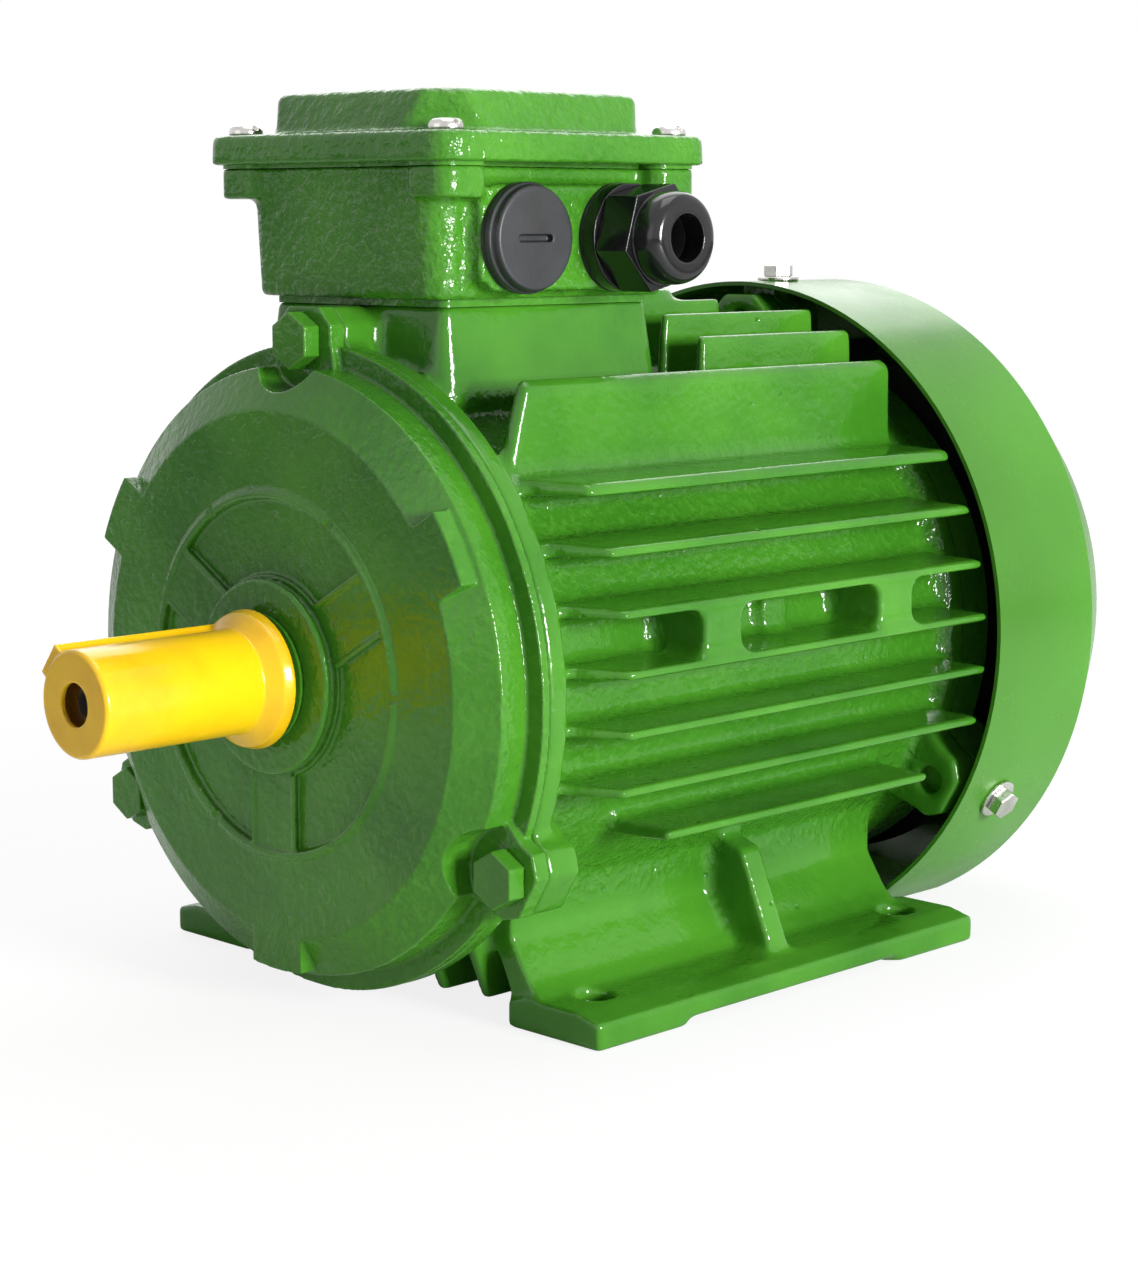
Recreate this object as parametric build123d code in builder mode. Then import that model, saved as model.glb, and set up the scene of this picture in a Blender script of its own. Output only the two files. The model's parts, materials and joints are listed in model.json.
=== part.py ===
"""Three-phase induction motor, foot mounted, totally enclosed and fan cooled, IEC frame 90L.

The origin is the middle of the four foot holes on the plane that the feet stand on. +Z is up, the
shaft lies along Y at the shaft height with its drive end towards -Y, and the cable entries of the
terminal box face +X. All sizes are in millimetres.
"""
import os
from math import cos, radians, sin, tan

from build123d import *

os.makedirs("parts", exist_ok=True)

# Mounting sizes of frame 90L
shaft_height = 90.0
foot_hole_spread_x = 140.0
foot_hole_spread_y = 125.0
foot_hole_radius = 5.0
shaft_end_radius = 12.0
shaft_end_length = 50.0
shaft_end_chamfer = 1.0
foot_hole_to_shoulder = 56.0

# Clearances
press_gap = 0.02
running_gap = 0.10
moving_gap = 0.30
thread_gap = 0.05
seat_gap = 0.20
overcut = 1.0

# Places along the shaft
shoulder_y = -(foot_hole_spread_y / 2 + foot_hole_to_shoulder)
shaft_end_y = shoulder_y - shaft_end_length
front_joint_y = -94.0
rear_joint_y = 80.0
core_front_y = -66.0
core_length = 120.0
core_rear_y = core_front_y + core_length

# Frame
stator_radius = 70.0
barrel_radius = 76.0
frame_flange_radius = 85.5
frame_flange_width = 6.0
frame_flange_slope = 5.0
frame_rear_flange_radius = 80.0
frame_rear_flange_width = 9.5
register_depth = 4.0
register_step = 1.5
base_clearance = 5.0

# Cooling fins
fin_tip_radius = 95.5
fin_root_thickness = 6.0
fin_tip_thickness = 2.2
fin_front_root_y = -84.0
fin_front_tip_y = -75.5
fin_rear_y = 70.0
side_fin_pitch = 14.9
side_fin_drop = 0.9
short_fin_half_length = 54.0
top_fin_pitch = 14.2
top_fin_front_y = 7.0
top_fin_front_slope = 4.0
inner_fin_rear_y = 45.5
nameplate_pad_length = 14.4
nameplate_pad_front_y = -46.8
nameplate_pad_rear_y = 23.6
nameplate_pad_face_x = 93.6
nameplate_pad_flare = 4.0
casting_mark_radius = 5.5
casting_mark_height = 2.0
casting_mark_y = -1.6
lifting_boss_radius = 14.0
lifting_boss_y = 20.0
lifting_boss_z = 187.5
lifting_hole_radius = 4.0
lifting_hole_depth = 15.0

# Feet
foot_outer_x = 86.4
foot_inner_x = 53.2
foot_length = 155.8
foot_thickness = 9.0
foot_edge_thickness = 7.2
foot_bevel_x = 79.0
foot_corner = 4.0
foot_relief_length = 82.0
foot_relief_depth = 1.8
web_top_z = 23.0
web_foot_z = 12.5
web_top_x = 54.0
web_foot_x = 61.0
web_thickness = 7.5
web_rear_y = 70.0
web_front_y = -77.0
gusset_y = 3.0
gusset_thickness = 8.0
gusset_foot_x = 77.5
gusset_top_x = 66.0
gusset_top_z = 36.5

# Terminal box seat on the frame
box_centre_y = -44.0
seat_half_x = 33.7
seat_half_y = 37.6
seat_z = 185.0
seat_draft = 8.0
seat_throat_x = 44.0
seat_throat_y = 38.0
seat_corner = 2.5
seat_throat_corner = 6.0

# Ears and the bolts that hold the endshields
ear_count = 3
ear_start_angle = 90.0
ear_radius = 95.0
bolt_edge = 8.7
bolt_circle_radius = ear_radius - bolt_edge
bolt_radius = 4.0
bolt_head_flats = 13.0
bolt_head_height = 5.3
front_bolt_length = 15.5
rear_bolt_length = 20.0
ear_half_width = 10.5
ear_root_half_width = 14.0
ear_corner = 4.5
frame_ear_depth = 11.0
shield_ear_front_y = -98.7
rear_shield_ear_depth = 15.0

# Drive endshield
shield_face_y = -111.0
shield_face_radius = 69.0
shield_bevel_y = -105.0
shield_radius = 80.0
shield_step_y = -96.5
shield_wall = 6.0
hub_boss_radius = 24.5
hub_boss_y = -114.5
hub_inner_radius = 33.0
face_pocket_inner_radius = 26.5
face_pocket_outer_radius = 46.0
face_pocket_depth = 1.4
face_spoke_width = 17.0
face_bead_width = 2.2
face_bead_height = 0.8
face_bead_gap = 3.0
jack_pad_start_angle = -90.0
jack_pad_width = 20.0
jack_pad_radius = 78.5

# Rolling bearings 6205 at both ends
bearing_bore_radius = 12.5
bearing_outer_radius = 26.0
bearing_width = 15.0
bearing_pitch_radius = 19.25
bearing_ball_radius = 3.9
bearing_ball_count = 9
bearing_inner_shoulder = 16.0
bearing_outer_shoulder = 22.6
cage_thickness = 0.9
cage_width = 11.5
front_bearing_y = -107.0
rear_bearing_y = 80.0
wave_spring_height = 1.6

# Non-drive endshield
rear_shield_wall_y = 97.0
rear_shield_wall = 5.0
rear_shield_radius = 79.0
cover_screw_y = 89.0

# Shaft and rotor
rotor_seat_radius = 17.5
shaft_shoulder_radius = 15.2
air_gap = 0.4
rotor_radius = 41.6
rotor_seat_end = 4.0
fan_seat_radius = 10.0
shaft_rear_y = 128.0
centre_hole_radius = 3.4
centre_hole_depth = 19.0
centre_mouth_radius = 4.3
centre_mouth_depth = 3.2
key_angle = 142.0
key_width = 8.0
key_height = 7.0
key_length = 40.0
key_start = 5.0
keyway_depth = 4.0
rotor_bar_count = 28
rotor_bar_depth = 11.0
rotor_bar_outer_width = 4.6
rotor_bar_inner_width = 2.6
rotor_bar_cover = 0.8
end_ring_inner_radius = 27.0
end_ring_length = 12.0
end_ring_vane_count = 7
end_ring_vane_length = 9.0
end_ring_vane_thickness = 3.0

# Stator
slot_count = 36
slot_mouth_width = 2.4
slot_inner_width = 4.4
slot_outer_width = 6.8
slot_mouth_depth = 1.4
slot_depth = 17.0
slot_liner = 0.25
coil_overhang = 23.0
coil_outer_radius = 65.0
coil_end_corner = 5.0

# Shaft seals and fan
seal_radius = 17.0
seal_width = 2.6
fan_hub_radius = 17.0
fan_hub_length = 18.0
fan_start_y = 105.0
fan_radius = 80.0
fan_blade_count = 8
fan_blade_inner_radius = 40.0
fan_blade_thickness = 2.2
fan_blade_end_y = 136.0
fan_disc_thickness = 2.5
circlip_thickness = 1.2
circlip_height = 2.2

# Fan cover
cover_ear_gap = 3.7
cover_radius = ear_radius + cover_ear_gap
cover_wall = 1.2
cover_front_y = 71.2
cover_crease_y = 116.0
cover_cone_y = 146.0
cover_cone_radius = 80.0
cover_end_y = 151.0
cover_end_radius = 70.0
cover_flat_z = 2.0
grille_ring_count = 4
grille_slot_width = 7.0
grille_web = 4.6
grille_inner_radius = 12.0
grille_spoke_count = 6
grille_spoke_width = 5.0
cover_screw_radius = 2.5
cover_screw_length = 8.0
cover_screw_head_flats = 8.0
cover_screw_head_height = 3.6
cover_washer_radius = 6.2
cover_washer_thickness = 1.1

# Terminal box
gasket_thickness = 1.9
box_shift_y = 1.2
box_half_x = 36.9
box_half_y = 42.8
box_draft = 2.7
box_wall = 3.5
box_floor = 2.2
box_rim_z = 220.5
box_corner = 6.4
box_bottom_round = 1.5
entry_face_x = 42.5
entry_pad_half_y = 29.5
entry_pad_corner = 4.0
entry_pad_bottom_z = 189.0
entry_pad_top_z = 216.0
entry_z = 202.4
entry_spread = 35.2
entry_radius = 12.5
lid_half_x = 48.1
lid_half_y = 49.4
lid_corner = 7.0
lid_edge_height = 7.8
lid_edge_draft = 3.0
lid_edge_round = 2.0
lid_wall = 3.5
lid_rim = 5.5
lid_panel_half_x = 40.3
lid_panel_half_y = 42.9
lid_panel_height = 10.8
lid_panel_draft = 24.0
lid_panel_corner = 15.8
lid_panel_round = 3.0
lid_gasket_thickness = 1.0
lid_screw_x = 39.5
lid_screw_y = 40.8
lid_boss_x = 37.1
lid_boss_y = 38.5
lid_boss_size = 16.6
lid_boss_corner = 5.0
lid_boss_height = 8.0
lid_screw_radius = 2.5
lid_screw_length = 14.0
lid_screw_head_radius = 4.6
lid_screw_head_height = 2.8
lid_screw_head_round = 2.0
lid_slot_width = 1.3
lid_slot_depth = 1.4
lid_cross_length = 5.5
seat_screw_x = 27.5
seat_screw_y = 28.0
seat_screw_radius = 2.5
seat_screw_length = 14.0
seat_screw_head_radius = 4.4
seat_screw_head_height = 3.4

# Terminal board
board_half_x = 17.0
board_half_y = 31.0
board_x = -5.0
board_thickness = 7.0
board_foot_height = 6.0
board_foot_radius = 4.5
stud_rows = 2
stud_columns = 3
stud_pitch_x = 18.0
stud_pitch_y = 18.0
stud_radius = 2.5
stud_height = 16.0
nut_flats = 8.0
nut_height = 4.0
link_width = 8.0
link_thickness = 1.0
earth_x = 27.5
board_screw_radius = 2.0
board_screw_length = 22.0
board_screw_head_radius = 3.6
board_screw_head_height = 2.6

# Blanking plug and cable gland, thread M25
entry_thread_radius = 12.4
plug_flange_radius = 14.2
plug_flange_thickness = 2.0
plug_head_radius = 13.4
plug_head_height = 2.6
plug_slot_width = 1.9
plug_slot_length = 12.0
plug_slot_depth = 2.0
entry_thread_length = 10.0
plug_wall = 2.2
gland_flange_radius = 14.3
gland_flange_length = 4.5
gland_neck_radius = 11.0
gland_neck_length = 9.0
gland_cable_radius = 6.25
gland_nut_flats = 25.4
gland_nut_turn = 13.0
gland_nut_length = 19.6
gland_hex_length = 11.0
gland_groove_radius = 11.6
gland_groove_width = 1.2
gland_dome_radius = 12.1
gland_nose_radius = 8.6
gland_nose_length = 5.6
gland_insert_radius = 8.6
gland_insert_length = 13.0
entry_seal_thickness = 1.0

# Shaft cap for transport
cap_wall = 1.5
cap_end_gap = 3.0
cap_end_hole_radius = 5.5
cap_flange_radius = 18.2
cap_flange_y = -117.8
cap_flange_length = 6.5
cap_ridge_width = 9.6
cap_ridge_radius = 16.4


# Places of the screws under the terminal box, from its middle
seat_screw_places = [
    (-seat_screw_x, -seat_screw_y),
    (-seat_screw_x, seat_screw_y),
    (seat_screw_x, -seat_screw_y),
    (seat_screw_x, seat_screw_y),
    (earth_x, 0),
]
board_screw_places = [
    (board_x, board_foot_radius - board_half_y),
    (board_x, board_half_y - board_foot_radius),
]

# Planes and axes shared by all the pieces
shaft_axis = Axis((0, 0, shaft_height), (0, 1, 0))
cover_top = Plane.XY.offset(shaft_height + cover_radius).move(Location((0, cover_screw_y, 0)))
axial_plane = Plane(origin=(0, 0, shaft_height), x_dir=(0, 1, 0), z_dir=(1, 0, 0))
key_plane = Plane(
    origin=(0, 0, shaft_height),
    x_dir=(0, 1, 0),
    z_dir=(cos(radians(key_angle)), 0, sin(radians(key_angle))),
)


def across(y):
    """Plane across the shaft at y: local x is +X, local y is up and its normal points to the drive end."""
    return Plane(origin=(0, y, shaft_height), x_dir=(1, 0, 0), z_dir=(0, -1, 0))


def level(z):
    """Horizontal plane at z over the middle of the terminal box."""
    return Plane.XY.offset(z).move(Location((0, box_centre_y, 0)))


def lid_screw_places():
    """The four places of the lid screws."""
    return GridLocations(2 * lid_screw_x, 2 * lid_screw_y, 2, 2)


def lid_boss_places():
    """The middles of the blocks under the lid that take its screws."""
    return GridLocations(2 * lid_boss_x, 2 * lid_boss_y, 2, 2)


def around_shaft(part):
    """The part repeated at each ear round the shaft."""
    return [part.rotate(shaft_axis, ear * 360 / ear_count) for ear in range(ear_count)]


def save(part, name):
    """Label a finished piece and write it."""
    part.label = name
    export_step(part, f"parts/{name}.step")


# Frame: finned barrel with its feet, ears and terminal box seat
barrel_profile = [
    (front_joint_y, 0),
    (front_joint_y, frame_flange_radius),
    (front_joint_y + frame_flange_width, frame_flange_radius),
    (front_joint_y + frame_flange_width + frame_flange_slope, barrel_radius),
    (rear_joint_y - frame_rear_flange_width, barrel_radius),
    (rear_joint_y - frame_rear_flange_width / 2, frame_rear_flange_radius),
    (rear_joint_y, frame_rear_flange_radius),
    (rear_joint_y, 0),
]
fin_envelope_profile = [
    (fin_front_root_y, 0),
    (fin_front_root_y, barrel_radius),
    (fin_front_tip_y, fin_tip_radius),
    (fin_rear_y, fin_tip_radius),
    (fin_rear_y, 0),
]
foot_profile = [
    (foot_inner_x, 0),
    (foot_inner_x, foot_edge_thickness),
    (web_foot_x, foot_thickness),
    (foot_bevel_x, foot_thickness),
    (foot_outer_x, foot_edge_thickness),
    (foot_outer_x, 0),
]
web_profile = [
    (web_top_x, web_top_z + web_top_x / 2),
    (web_top_x, web_top_z),
    (web_foot_x, web_foot_z),
    (web_foot_x + foot_thickness / 2, foot_thickness),
    (foot_bevel_x, foot_thickness / 2),
    (foot_inner_x, foot_thickness / 2),
    (foot_inner_x, foot_thickness),
    (web_top_x - web_thickness, web_top_z),
    (web_top_x - web_thickness, web_top_z + web_top_x / 2),
]
ear_profile = [
    (stator_radius + register_step, -ear_root_half_width),
    (stator_radius + register_step, ear_root_half_width),
    (bolt_circle_radius, ear_half_width),
    (ear_radius - ear_corner, ear_half_width),
    (ear_radius, ear_half_width - ear_corner),
    (ear_radius, ear_corner - ear_half_width),
    (ear_radius - ear_corner, -ear_half_width),
    (bolt_circle_radius, -ear_half_width),
]
frame_ears = [
    (front_joint_y, frame_ear_depth),
    (rear_joint_y - frame_rear_flange_width, frame_rear_flange_width),
]
side_fin_z = [side_fin_pitch * step - side_fin_drop for step in (-2.5, -1.5, -0.5, 0.5, 1.5, 2.5, 3.5)]
top_fin_x = [top_fin_pitch * step for step in (-3, -2, -1, 1, 2, 3)]
corner_fin_x = 4 * top_fin_pitch
nameplate_middle = side_fin_pitch - side_fin_drop
fin_reach = (fin_root_thickness - fin_tip_thickness) / 2


def fin_outline(start, end):
    """Cross-section of one fin that runs from start to end, tapered towards its tip."""
    half = fin_root_thickness / 2
    return [(start, -half), (start, half), (end, half - fin_reach), (end, fin_reach - half)]


with BuildPart() as side_fins:
    with BuildSketch(across(fin_front_root_y)):
        for z in side_fin_z[1:]:
            for turn in (0, 180):
                with Locations(Location((0, z), turn)):
                    Polygon(*fin_outline(barrel_radius / 2, fin_tip_radius), align=None)
    extrude(amount=fin_front_root_y - fin_rear_y)
    with BuildSketch(across(-short_fin_half_length)):
        for turn in (0, 180):
            with Locations(Location((0, side_fin_z[0]), turn)):
                Polygon(*fin_outline(barrel_radius / 2, fin_tip_radius), align=None)
    extrude(amount=-2 * short_fin_half_length)

with BuildPart() as upright_fins:
    with BuildSketch(across(fin_front_root_y)):
        for x in (-corner_fin_x, corner_fin_x):
            with Locations(Location((x, 0), 90)):
                Polygon(*fin_outline(barrel_radius / 2, fin_tip_radius), align=None)
        for turn, places in ((90, top_fin_x), (-90, [0, *top_fin_x])):
            for x in places:
                with Locations(Location((x, 0), turn)):
                    Polygon(*fin_outline(barrel_radius / 2, fin_tip_radius), align=None)
    extrude(amount=fin_front_root_y - fin_rear_y)
    with BuildSketch(Plane.YZ):
        with BuildLine():
            Polyline(
                (fin_front_root_y - overcut, shaft_height + fin_tip_radius),
                (fin_front_root_y - overcut, shaft_height + barrel_radius / 2),
                (top_fin_front_y - top_fin_front_slope, shaft_height + barrel_radius / 2),
                (top_fin_front_y, shaft_height + fin_tip_radius),
                close=True,
            )
        make_face()
    extrude(amount=corner_fin_x - top_fin_pitch / 2, both=True, mode=Mode.SUBTRACT)
    # Room for the spanner at the upper rear bolt
    with BuildSketch(across(fin_rear_y)):
        with Locations((0, fin_tip_radius)):
            Rectangle(3 * top_fin_pitch, 2 * (fin_tip_radius - stator_radius))
    extrude(amount=fin_rear_y - inner_fin_rear_y, mode=Mode.SUBTRACT)

with BuildPart() as feet:
    for side in (-1, 1):
        with BuildSketch(Plane.XZ.offset(-web_front_y)):
            Polygon(*[(side * x, z) for x, z in web_profile], align=None)
        extrude(amount=web_front_y - web_rear_y)
        with BuildSketch(Plane.XZ.offset(foot_length / 2)):
            Polygon(*[(side * x, z) for x, z in foot_profile], align=None)
        extrude(amount=-foot_length)
        with BuildSketch(Plane.XZ.offset(gusset_thickness / 2 - gusset_y)):
            Polygon(
                (side * barrel_radius / 2, gusset_top_z + foot_thickness),
                (side * gusset_top_x, gusset_top_z),
                (side * gusset_foot_x, foot_thickness),
                (side * gusset_foot_x, foot_thickness / 2),
                (side * foot_inner_x, foot_thickness / 2),
                align=None,
            )
        extrude(amount=-gusset_thickness)
    with BuildSketch(axial_plane):
        with Locations(((web_rear_y + foot_length) / 2, (cover_radius + seat_gap) / 2)):
            Rectangle(foot_length - web_rear_y, cover_radius + seat_gap)
    revolve(axis=shaft_axis, mode=Mode.SUBTRACT)

with BuildPart() as fin_envelope:
    with BuildSketch(axial_plane):
        Polygon(*fin_envelope_profile, align=None)
    revolve(axis=shaft_axis)

with BuildPart() as frame_housing:
    with BuildSketch(axial_plane):
        Polygon(*barrel_profile, align=None)
    revolve(axis=shaft_axis)
    add(side_fins.part & fin_envelope.part)
    add(upright_fins.part & fin_envelope.part)
    # Pads between two side fins that carry the rating plate
    for side in (-1, 1):
        with BuildSketch(Plane.YZ.offset(side * nameplate_pad_face_x)):
            for y in (nameplate_pad_front_y, nameplate_pad_rear_y):
                with Locations((y + nameplate_pad_length / 2, shaft_height + nameplate_middle)):
                    Rectangle(nameplate_pad_length + 2 * nameplate_pad_flare, side_fin_pitch)
                    with GridLocations(nameplate_pad_length + 4 * nameplate_pad_flare, 0, 2, 1):
                        RectangleRounded(
                            4 * nameplate_pad_flare,
                            side_fin_pitch - fin_tip_thickness,
                            nameplate_pad_flare,
                            mode=Mode.SUBTRACT,
                        )
        extrude(amount=-side * (nameplate_pad_face_x - barrel_radius / 2))
    # Round casting mark between two side fins
    with BuildSketch(Plane.YZ.offset(barrel_radius + casting_mark_height)):
        with Locations((casting_mark_y, shaft_height + nameplate_middle)):
            Circle(casting_mark_radius)
    extrude(amount=-2 * casting_mark_height)
    add(feet.part)
    # Underside kept clear of the base
    with BuildSketch(Plane.XZ.offset(-front_joint_y)):
        with Locations((0, base_clearance - shaft_height / 2)):
            Rectangle(2 * foot_inner_x, shaft_height)
    extrude(amount=front_joint_y - rear_joint_y, mode=Mode.SUBTRACT)
    with BuildSketch(Plane.YZ):
        Rectangle(foot_relief_length, 2 * foot_relief_depth)
    extrude(amount=foot_outer_x + overcut, both=True, mode=Mode.SUBTRACT)
    # Ears at both ends
    for y, depth in frame_ears:
        with BuildSketch(across(y)):
            with PolarLocations(0, ear_count, start_angle=ear_start_angle):
                Polygon(*ear_profile, align=None)
        extrude(amount=-depth)
    # Boss for an eyebolt
    with BuildSketch(Plane.XY.offset(lifting_boss_z)):
        with Locations((0, lifting_boss_y)):
            Circle(lifting_boss_radius)
    extrude(amount=shaft_height + stator_radius - lifting_boss_z)
    # Seat for the terminal box
    with BuildSketch(level(seat_z)):
        with Locations((0, box_shift_y)):
            RectangleRounded(2 * seat_half_x, 2 * seat_half_y, seat_corner)
    extrude(amount=shaft_height + stator_radius - seat_z, taper=-seat_draft)
    # Bore, registers and throat for the leads
    with BuildSketch(axial_plane):
        with Locations(((front_joint_y + rear_joint_y) / 2, stator_radius / 2)):
            Rectangle(rear_joint_y - front_joint_y, stator_radius)
        for y in (front_joint_y + register_depth / 2, rear_joint_y - register_depth / 2):
            with Locations((y, (stator_radius + register_step) / 2)):
                Rectangle(register_depth, stator_radius + register_step)
    revolve(axis=shaft_axis, mode=Mode.SUBTRACT)
    with BuildSketch(level(seat_z)):
        RectangleRounded(seat_throat_x, seat_throat_y, seat_throat_corner)
    extrude(amount=shaft_height - seat_z, mode=Mode.SUBTRACT)
    # Holes
    with Locations((0, 0, foot_thickness)):
        with GridLocations(foot_hole_spread_x, foot_hole_spread_y, 2, 2):
            Hole(foot_hole_radius, depth=2 * foot_thickness)
    with Locations((0, lifting_boss_y, lifting_boss_z)):
        Hole(lifting_hole_radius, depth=lifting_hole_depth)
    with Locations(level(seat_z)):
        with Locations(*seat_screw_places):
            Hole(seat_screw_radius + thread_gap, depth=seat_screw_length)
        with Locations(*board_screw_places):
            Hole(board_screw_radius + thread_gap, depth=board_screw_length / 2)
    for y, depth in frame_ears:
        with BuildSketch(across(y)):
            with PolarLocations(bolt_circle_radius, ear_count, start_angle=ear_start_angle):
                Circle(bolt_radius + thread_gap)
        extrude(amount=-depth, mode=Mode.SUBTRACT)
    # Web ends and foot corners
    chamfer(
        frame_housing.edges().filter_by(Axis.Z).group_by(Axis.Z)[0]
        .filter_by(lambda edge: abs(edge.center().X) > foot_bevel_x),
        length=foot_corner,
    )
save(frame_housing.part, "frame_housing")


# Drive endshield: face with hub boss, pockets, bead and three jacking pads
with BuildPart() as drive_endshield:
    with BuildSketch(axial_plane):
        Polygon(
            (hub_boss_y, bearing_bore_radius + moving_gap),
            (hub_boss_y, hub_boss_radius),
            (shield_face_y, hub_boss_radius),
            (shield_face_y, shield_face_radius),
            (shield_bevel_y, shield_radius),
            (shield_step_y, shield_radius),
            (shield_step_y, frame_flange_radius),
            (front_joint_y, frame_flange_radius),
            (front_joint_y, stator_radius + register_step - press_gap),
            (front_joint_y + register_depth - seat_gap, stator_radius + register_step - press_gap),
            (front_joint_y + register_depth - seat_gap, stator_radius - shield_wall / 2),
            (front_joint_y, shield_radius - 2 * shield_wall),
            (shield_face_y + shield_wall, shield_face_radius - shield_wall),
            (shield_face_y + shield_wall, hub_inner_radius),
            (front_bearing_y + bearing_width, hub_inner_radius),
            (front_bearing_y + bearing_width, bearing_outer_radius + press_gap),
            (front_bearing_y, bearing_outer_radius + press_gap),
            (front_bearing_y, bearing_bore_radius + moving_gap),
            align=None,
        )
    revolve(axis=shaft_axis)
    # Ears in front of the frame's ears
    with BuildSketch(across(front_joint_y)):
        with PolarLocations(0, ear_count, start_angle=ear_start_angle):
            Polygon(*ear_profile, align=None)
    extrude(amount=front_joint_y - shield_ear_front_y)
    # Jacking pads level with the face
    jack_pad_middle = jack_pad_radius / 2 + hub_boss_radius
    with BuildSketch(across(shield_step_y)):
        with PolarLocations(jack_pad_middle, ear_count, start_angle=jack_pad_start_angle):
            Rectangle(jack_pad_radius, jack_pad_width)
        Circle(jack_pad_radius, mode=Mode.INTERSECT)
        Circle(shield_face_radius - shield_wall, mode=Mode.SUBTRACT)
    extrude(amount=shield_step_y - shield_face_y)
    # Scoops that let a socket reach the bolt heads
    with BuildSketch(across(shield_ear_front_y)):
        with PolarLocations(bolt_circle_radius, ear_count, start_angle=ear_start_angle):
            Circle(bolt_head_flats)
    extrude(amount=shield_ear_front_y - shield_face_y, mode=Mode.SUBTRACT)
    with BuildSketch(across(front_joint_y)):
        with PolarLocations(bolt_circle_radius, ear_count, start_angle=ear_start_angle):
            Circle(bolt_radius + thread_gap)
    extrude(amount=front_joint_y - shield_ear_front_y, mode=Mode.SUBTRACT)
    # Pockets between the three wide spokes
    with BuildSketch(across(shield_face_y)):
        Circle(face_pocket_outer_radius)
        Circle(face_pocket_inner_radius, mode=Mode.SUBTRACT)
        with PolarLocations(face_pocket_outer_radius / 2, ear_count, start_angle=jack_pad_start_angle):
            Rectangle(face_pocket_outer_radius, face_spoke_width, mode=Mode.SUBTRACT)
    extrude(amount=-face_pocket_depth, mode=Mode.SUBTRACT)
    # Bead round the pockets, broken at six places
    with BuildSketch(across(shield_face_y)):
        Circle(face_pocket_outer_radius + face_bead_width + moving_gap)
        Circle(face_pocket_outer_radius + moving_gap, mode=Mode.SUBTRACT)
        with PolarLocations(face_pocket_outer_radius, 2 * ear_count, start_angle=0):
            Rectangle(3 * face_bead_width, face_bead_gap, mode=Mode.SUBTRACT)
    extrude(amount=face_bead_height)
save(drive_endshield.part, "drive_endshield")

# Non-drive endshield with the bosses for the fan cover
rear_bearing_end_y = rear_bearing_y + bearing_width
cover_boss_radius = cover_radius - cover_wall - press_gap
with BuildPart() as rear_endshield:
    with BuildSketch(axial_plane):
        Polygon(
            (rear_shield_wall_y + rear_shield_wall, bearing_bore_radius + moving_gap),
            (rear_shield_wall_y + rear_shield_wall, hub_inner_radius),
            (rear_shield_wall_y + rear_shield_wall / 2, rear_shield_radius - rear_shield_wall),
            (rear_shield_wall_y - rear_shield_wall, rear_shield_radius),
            (rear_joint_y, rear_shield_radius),
            (rear_joint_y, stator_radius + register_step - press_gap),
            (rear_joint_y - register_depth + seat_gap, stator_radius + register_step - press_gap),
            (rear_joint_y - register_depth + seat_gap, stator_radius - rear_shield_wall / 2),
            (rear_joint_y, stator_radius - rear_shield_wall / 2),
            (rear_shield_wall_y - rear_shield_wall, rear_shield_radius - 2 * rear_shield_wall),
            (rear_shield_wall_y - rear_shield_wall / 2, hub_inner_radius),
            (rear_bearing_y, hub_inner_radius),
            (rear_bearing_y, bearing_outer_radius + press_gap),
            (rear_bearing_end_y + wave_spring_height, bearing_outer_radius + press_gap),
            (rear_bearing_end_y + wave_spring_height, bearing_bore_radius + moving_gap),
            align=None,
        )
    revolve(axis=shaft_axis)
    cover_boss_root = stator_radius + register_step
    cover_boss_middle = (cover_boss_root + cover_radius) / 2
    with BuildSketch(across(rear_joint_y + rear_shield_ear_depth)):
        with PolarLocations(0, ear_count, start_angle=ear_start_angle):
            Polygon(*ear_profile, align=None)
        with PolarLocations(cover_boss_middle, ear_count, start_angle=ear_start_angle):
            Rectangle(cover_radius - cover_boss_root, 2 * (ear_half_width - ear_corner))
        Circle(cover_boss_radius, mode=Mode.INTERSECT)
    extrude(amount=rear_shield_ear_depth)
    with BuildSketch(across(rear_joint_y)):
        with PolarLocations(bolt_circle_radius, ear_count, start_angle=ear_start_angle):
            Circle(bolt_radius + thread_gap)
    extrude(amount=-rear_shield_ear_depth, mode=Mode.SUBTRACT)
    with BuildSketch(cover_top):
        Circle(cover_screw_radius + thread_gap)
    screw_hole = extrude(amount=cover_washer_thickness - cover_screw_length, mode=Mode.PRIVATE)
    for hole in around_shaft(screw_hole):
        add(hole, mode=Mode.SUBTRACT)
save(rear_endshield.part, "rear_endshield")


# Bolts that hold the endshields
def hex_bolts(head_y, length, direction):
    """Three hexagon bolts on the ears, their heads at head_y and their shanks going along direction."""
    with BuildPart() as bolts:
        with BuildSketch(across(head_y)):
            with PolarLocations(bolt_circle_radius, ear_count, start_angle=ear_start_angle):
                RegularPolygon(bolt_head_flats / 2, 6, major_radius=False)
        extrude(amount=direction * bolt_head_height)
        with BuildSketch(across(head_y)):
            with PolarLocations(bolt_circle_radius, ear_count, start_angle=ear_start_angle):
                Circle(bolt_radius)
        extrude(amount=-direction * length)
    return bolts.part


save(hex_bolts(shield_ear_front_y, front_bolt_length - press_gap, 1), "drive_endshield_bolts")
save(hex_bolts(rear_joint_y + rear_shield_ear_depth, rear_bolt_length, -1), "rear_endshield_bolts")


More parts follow.
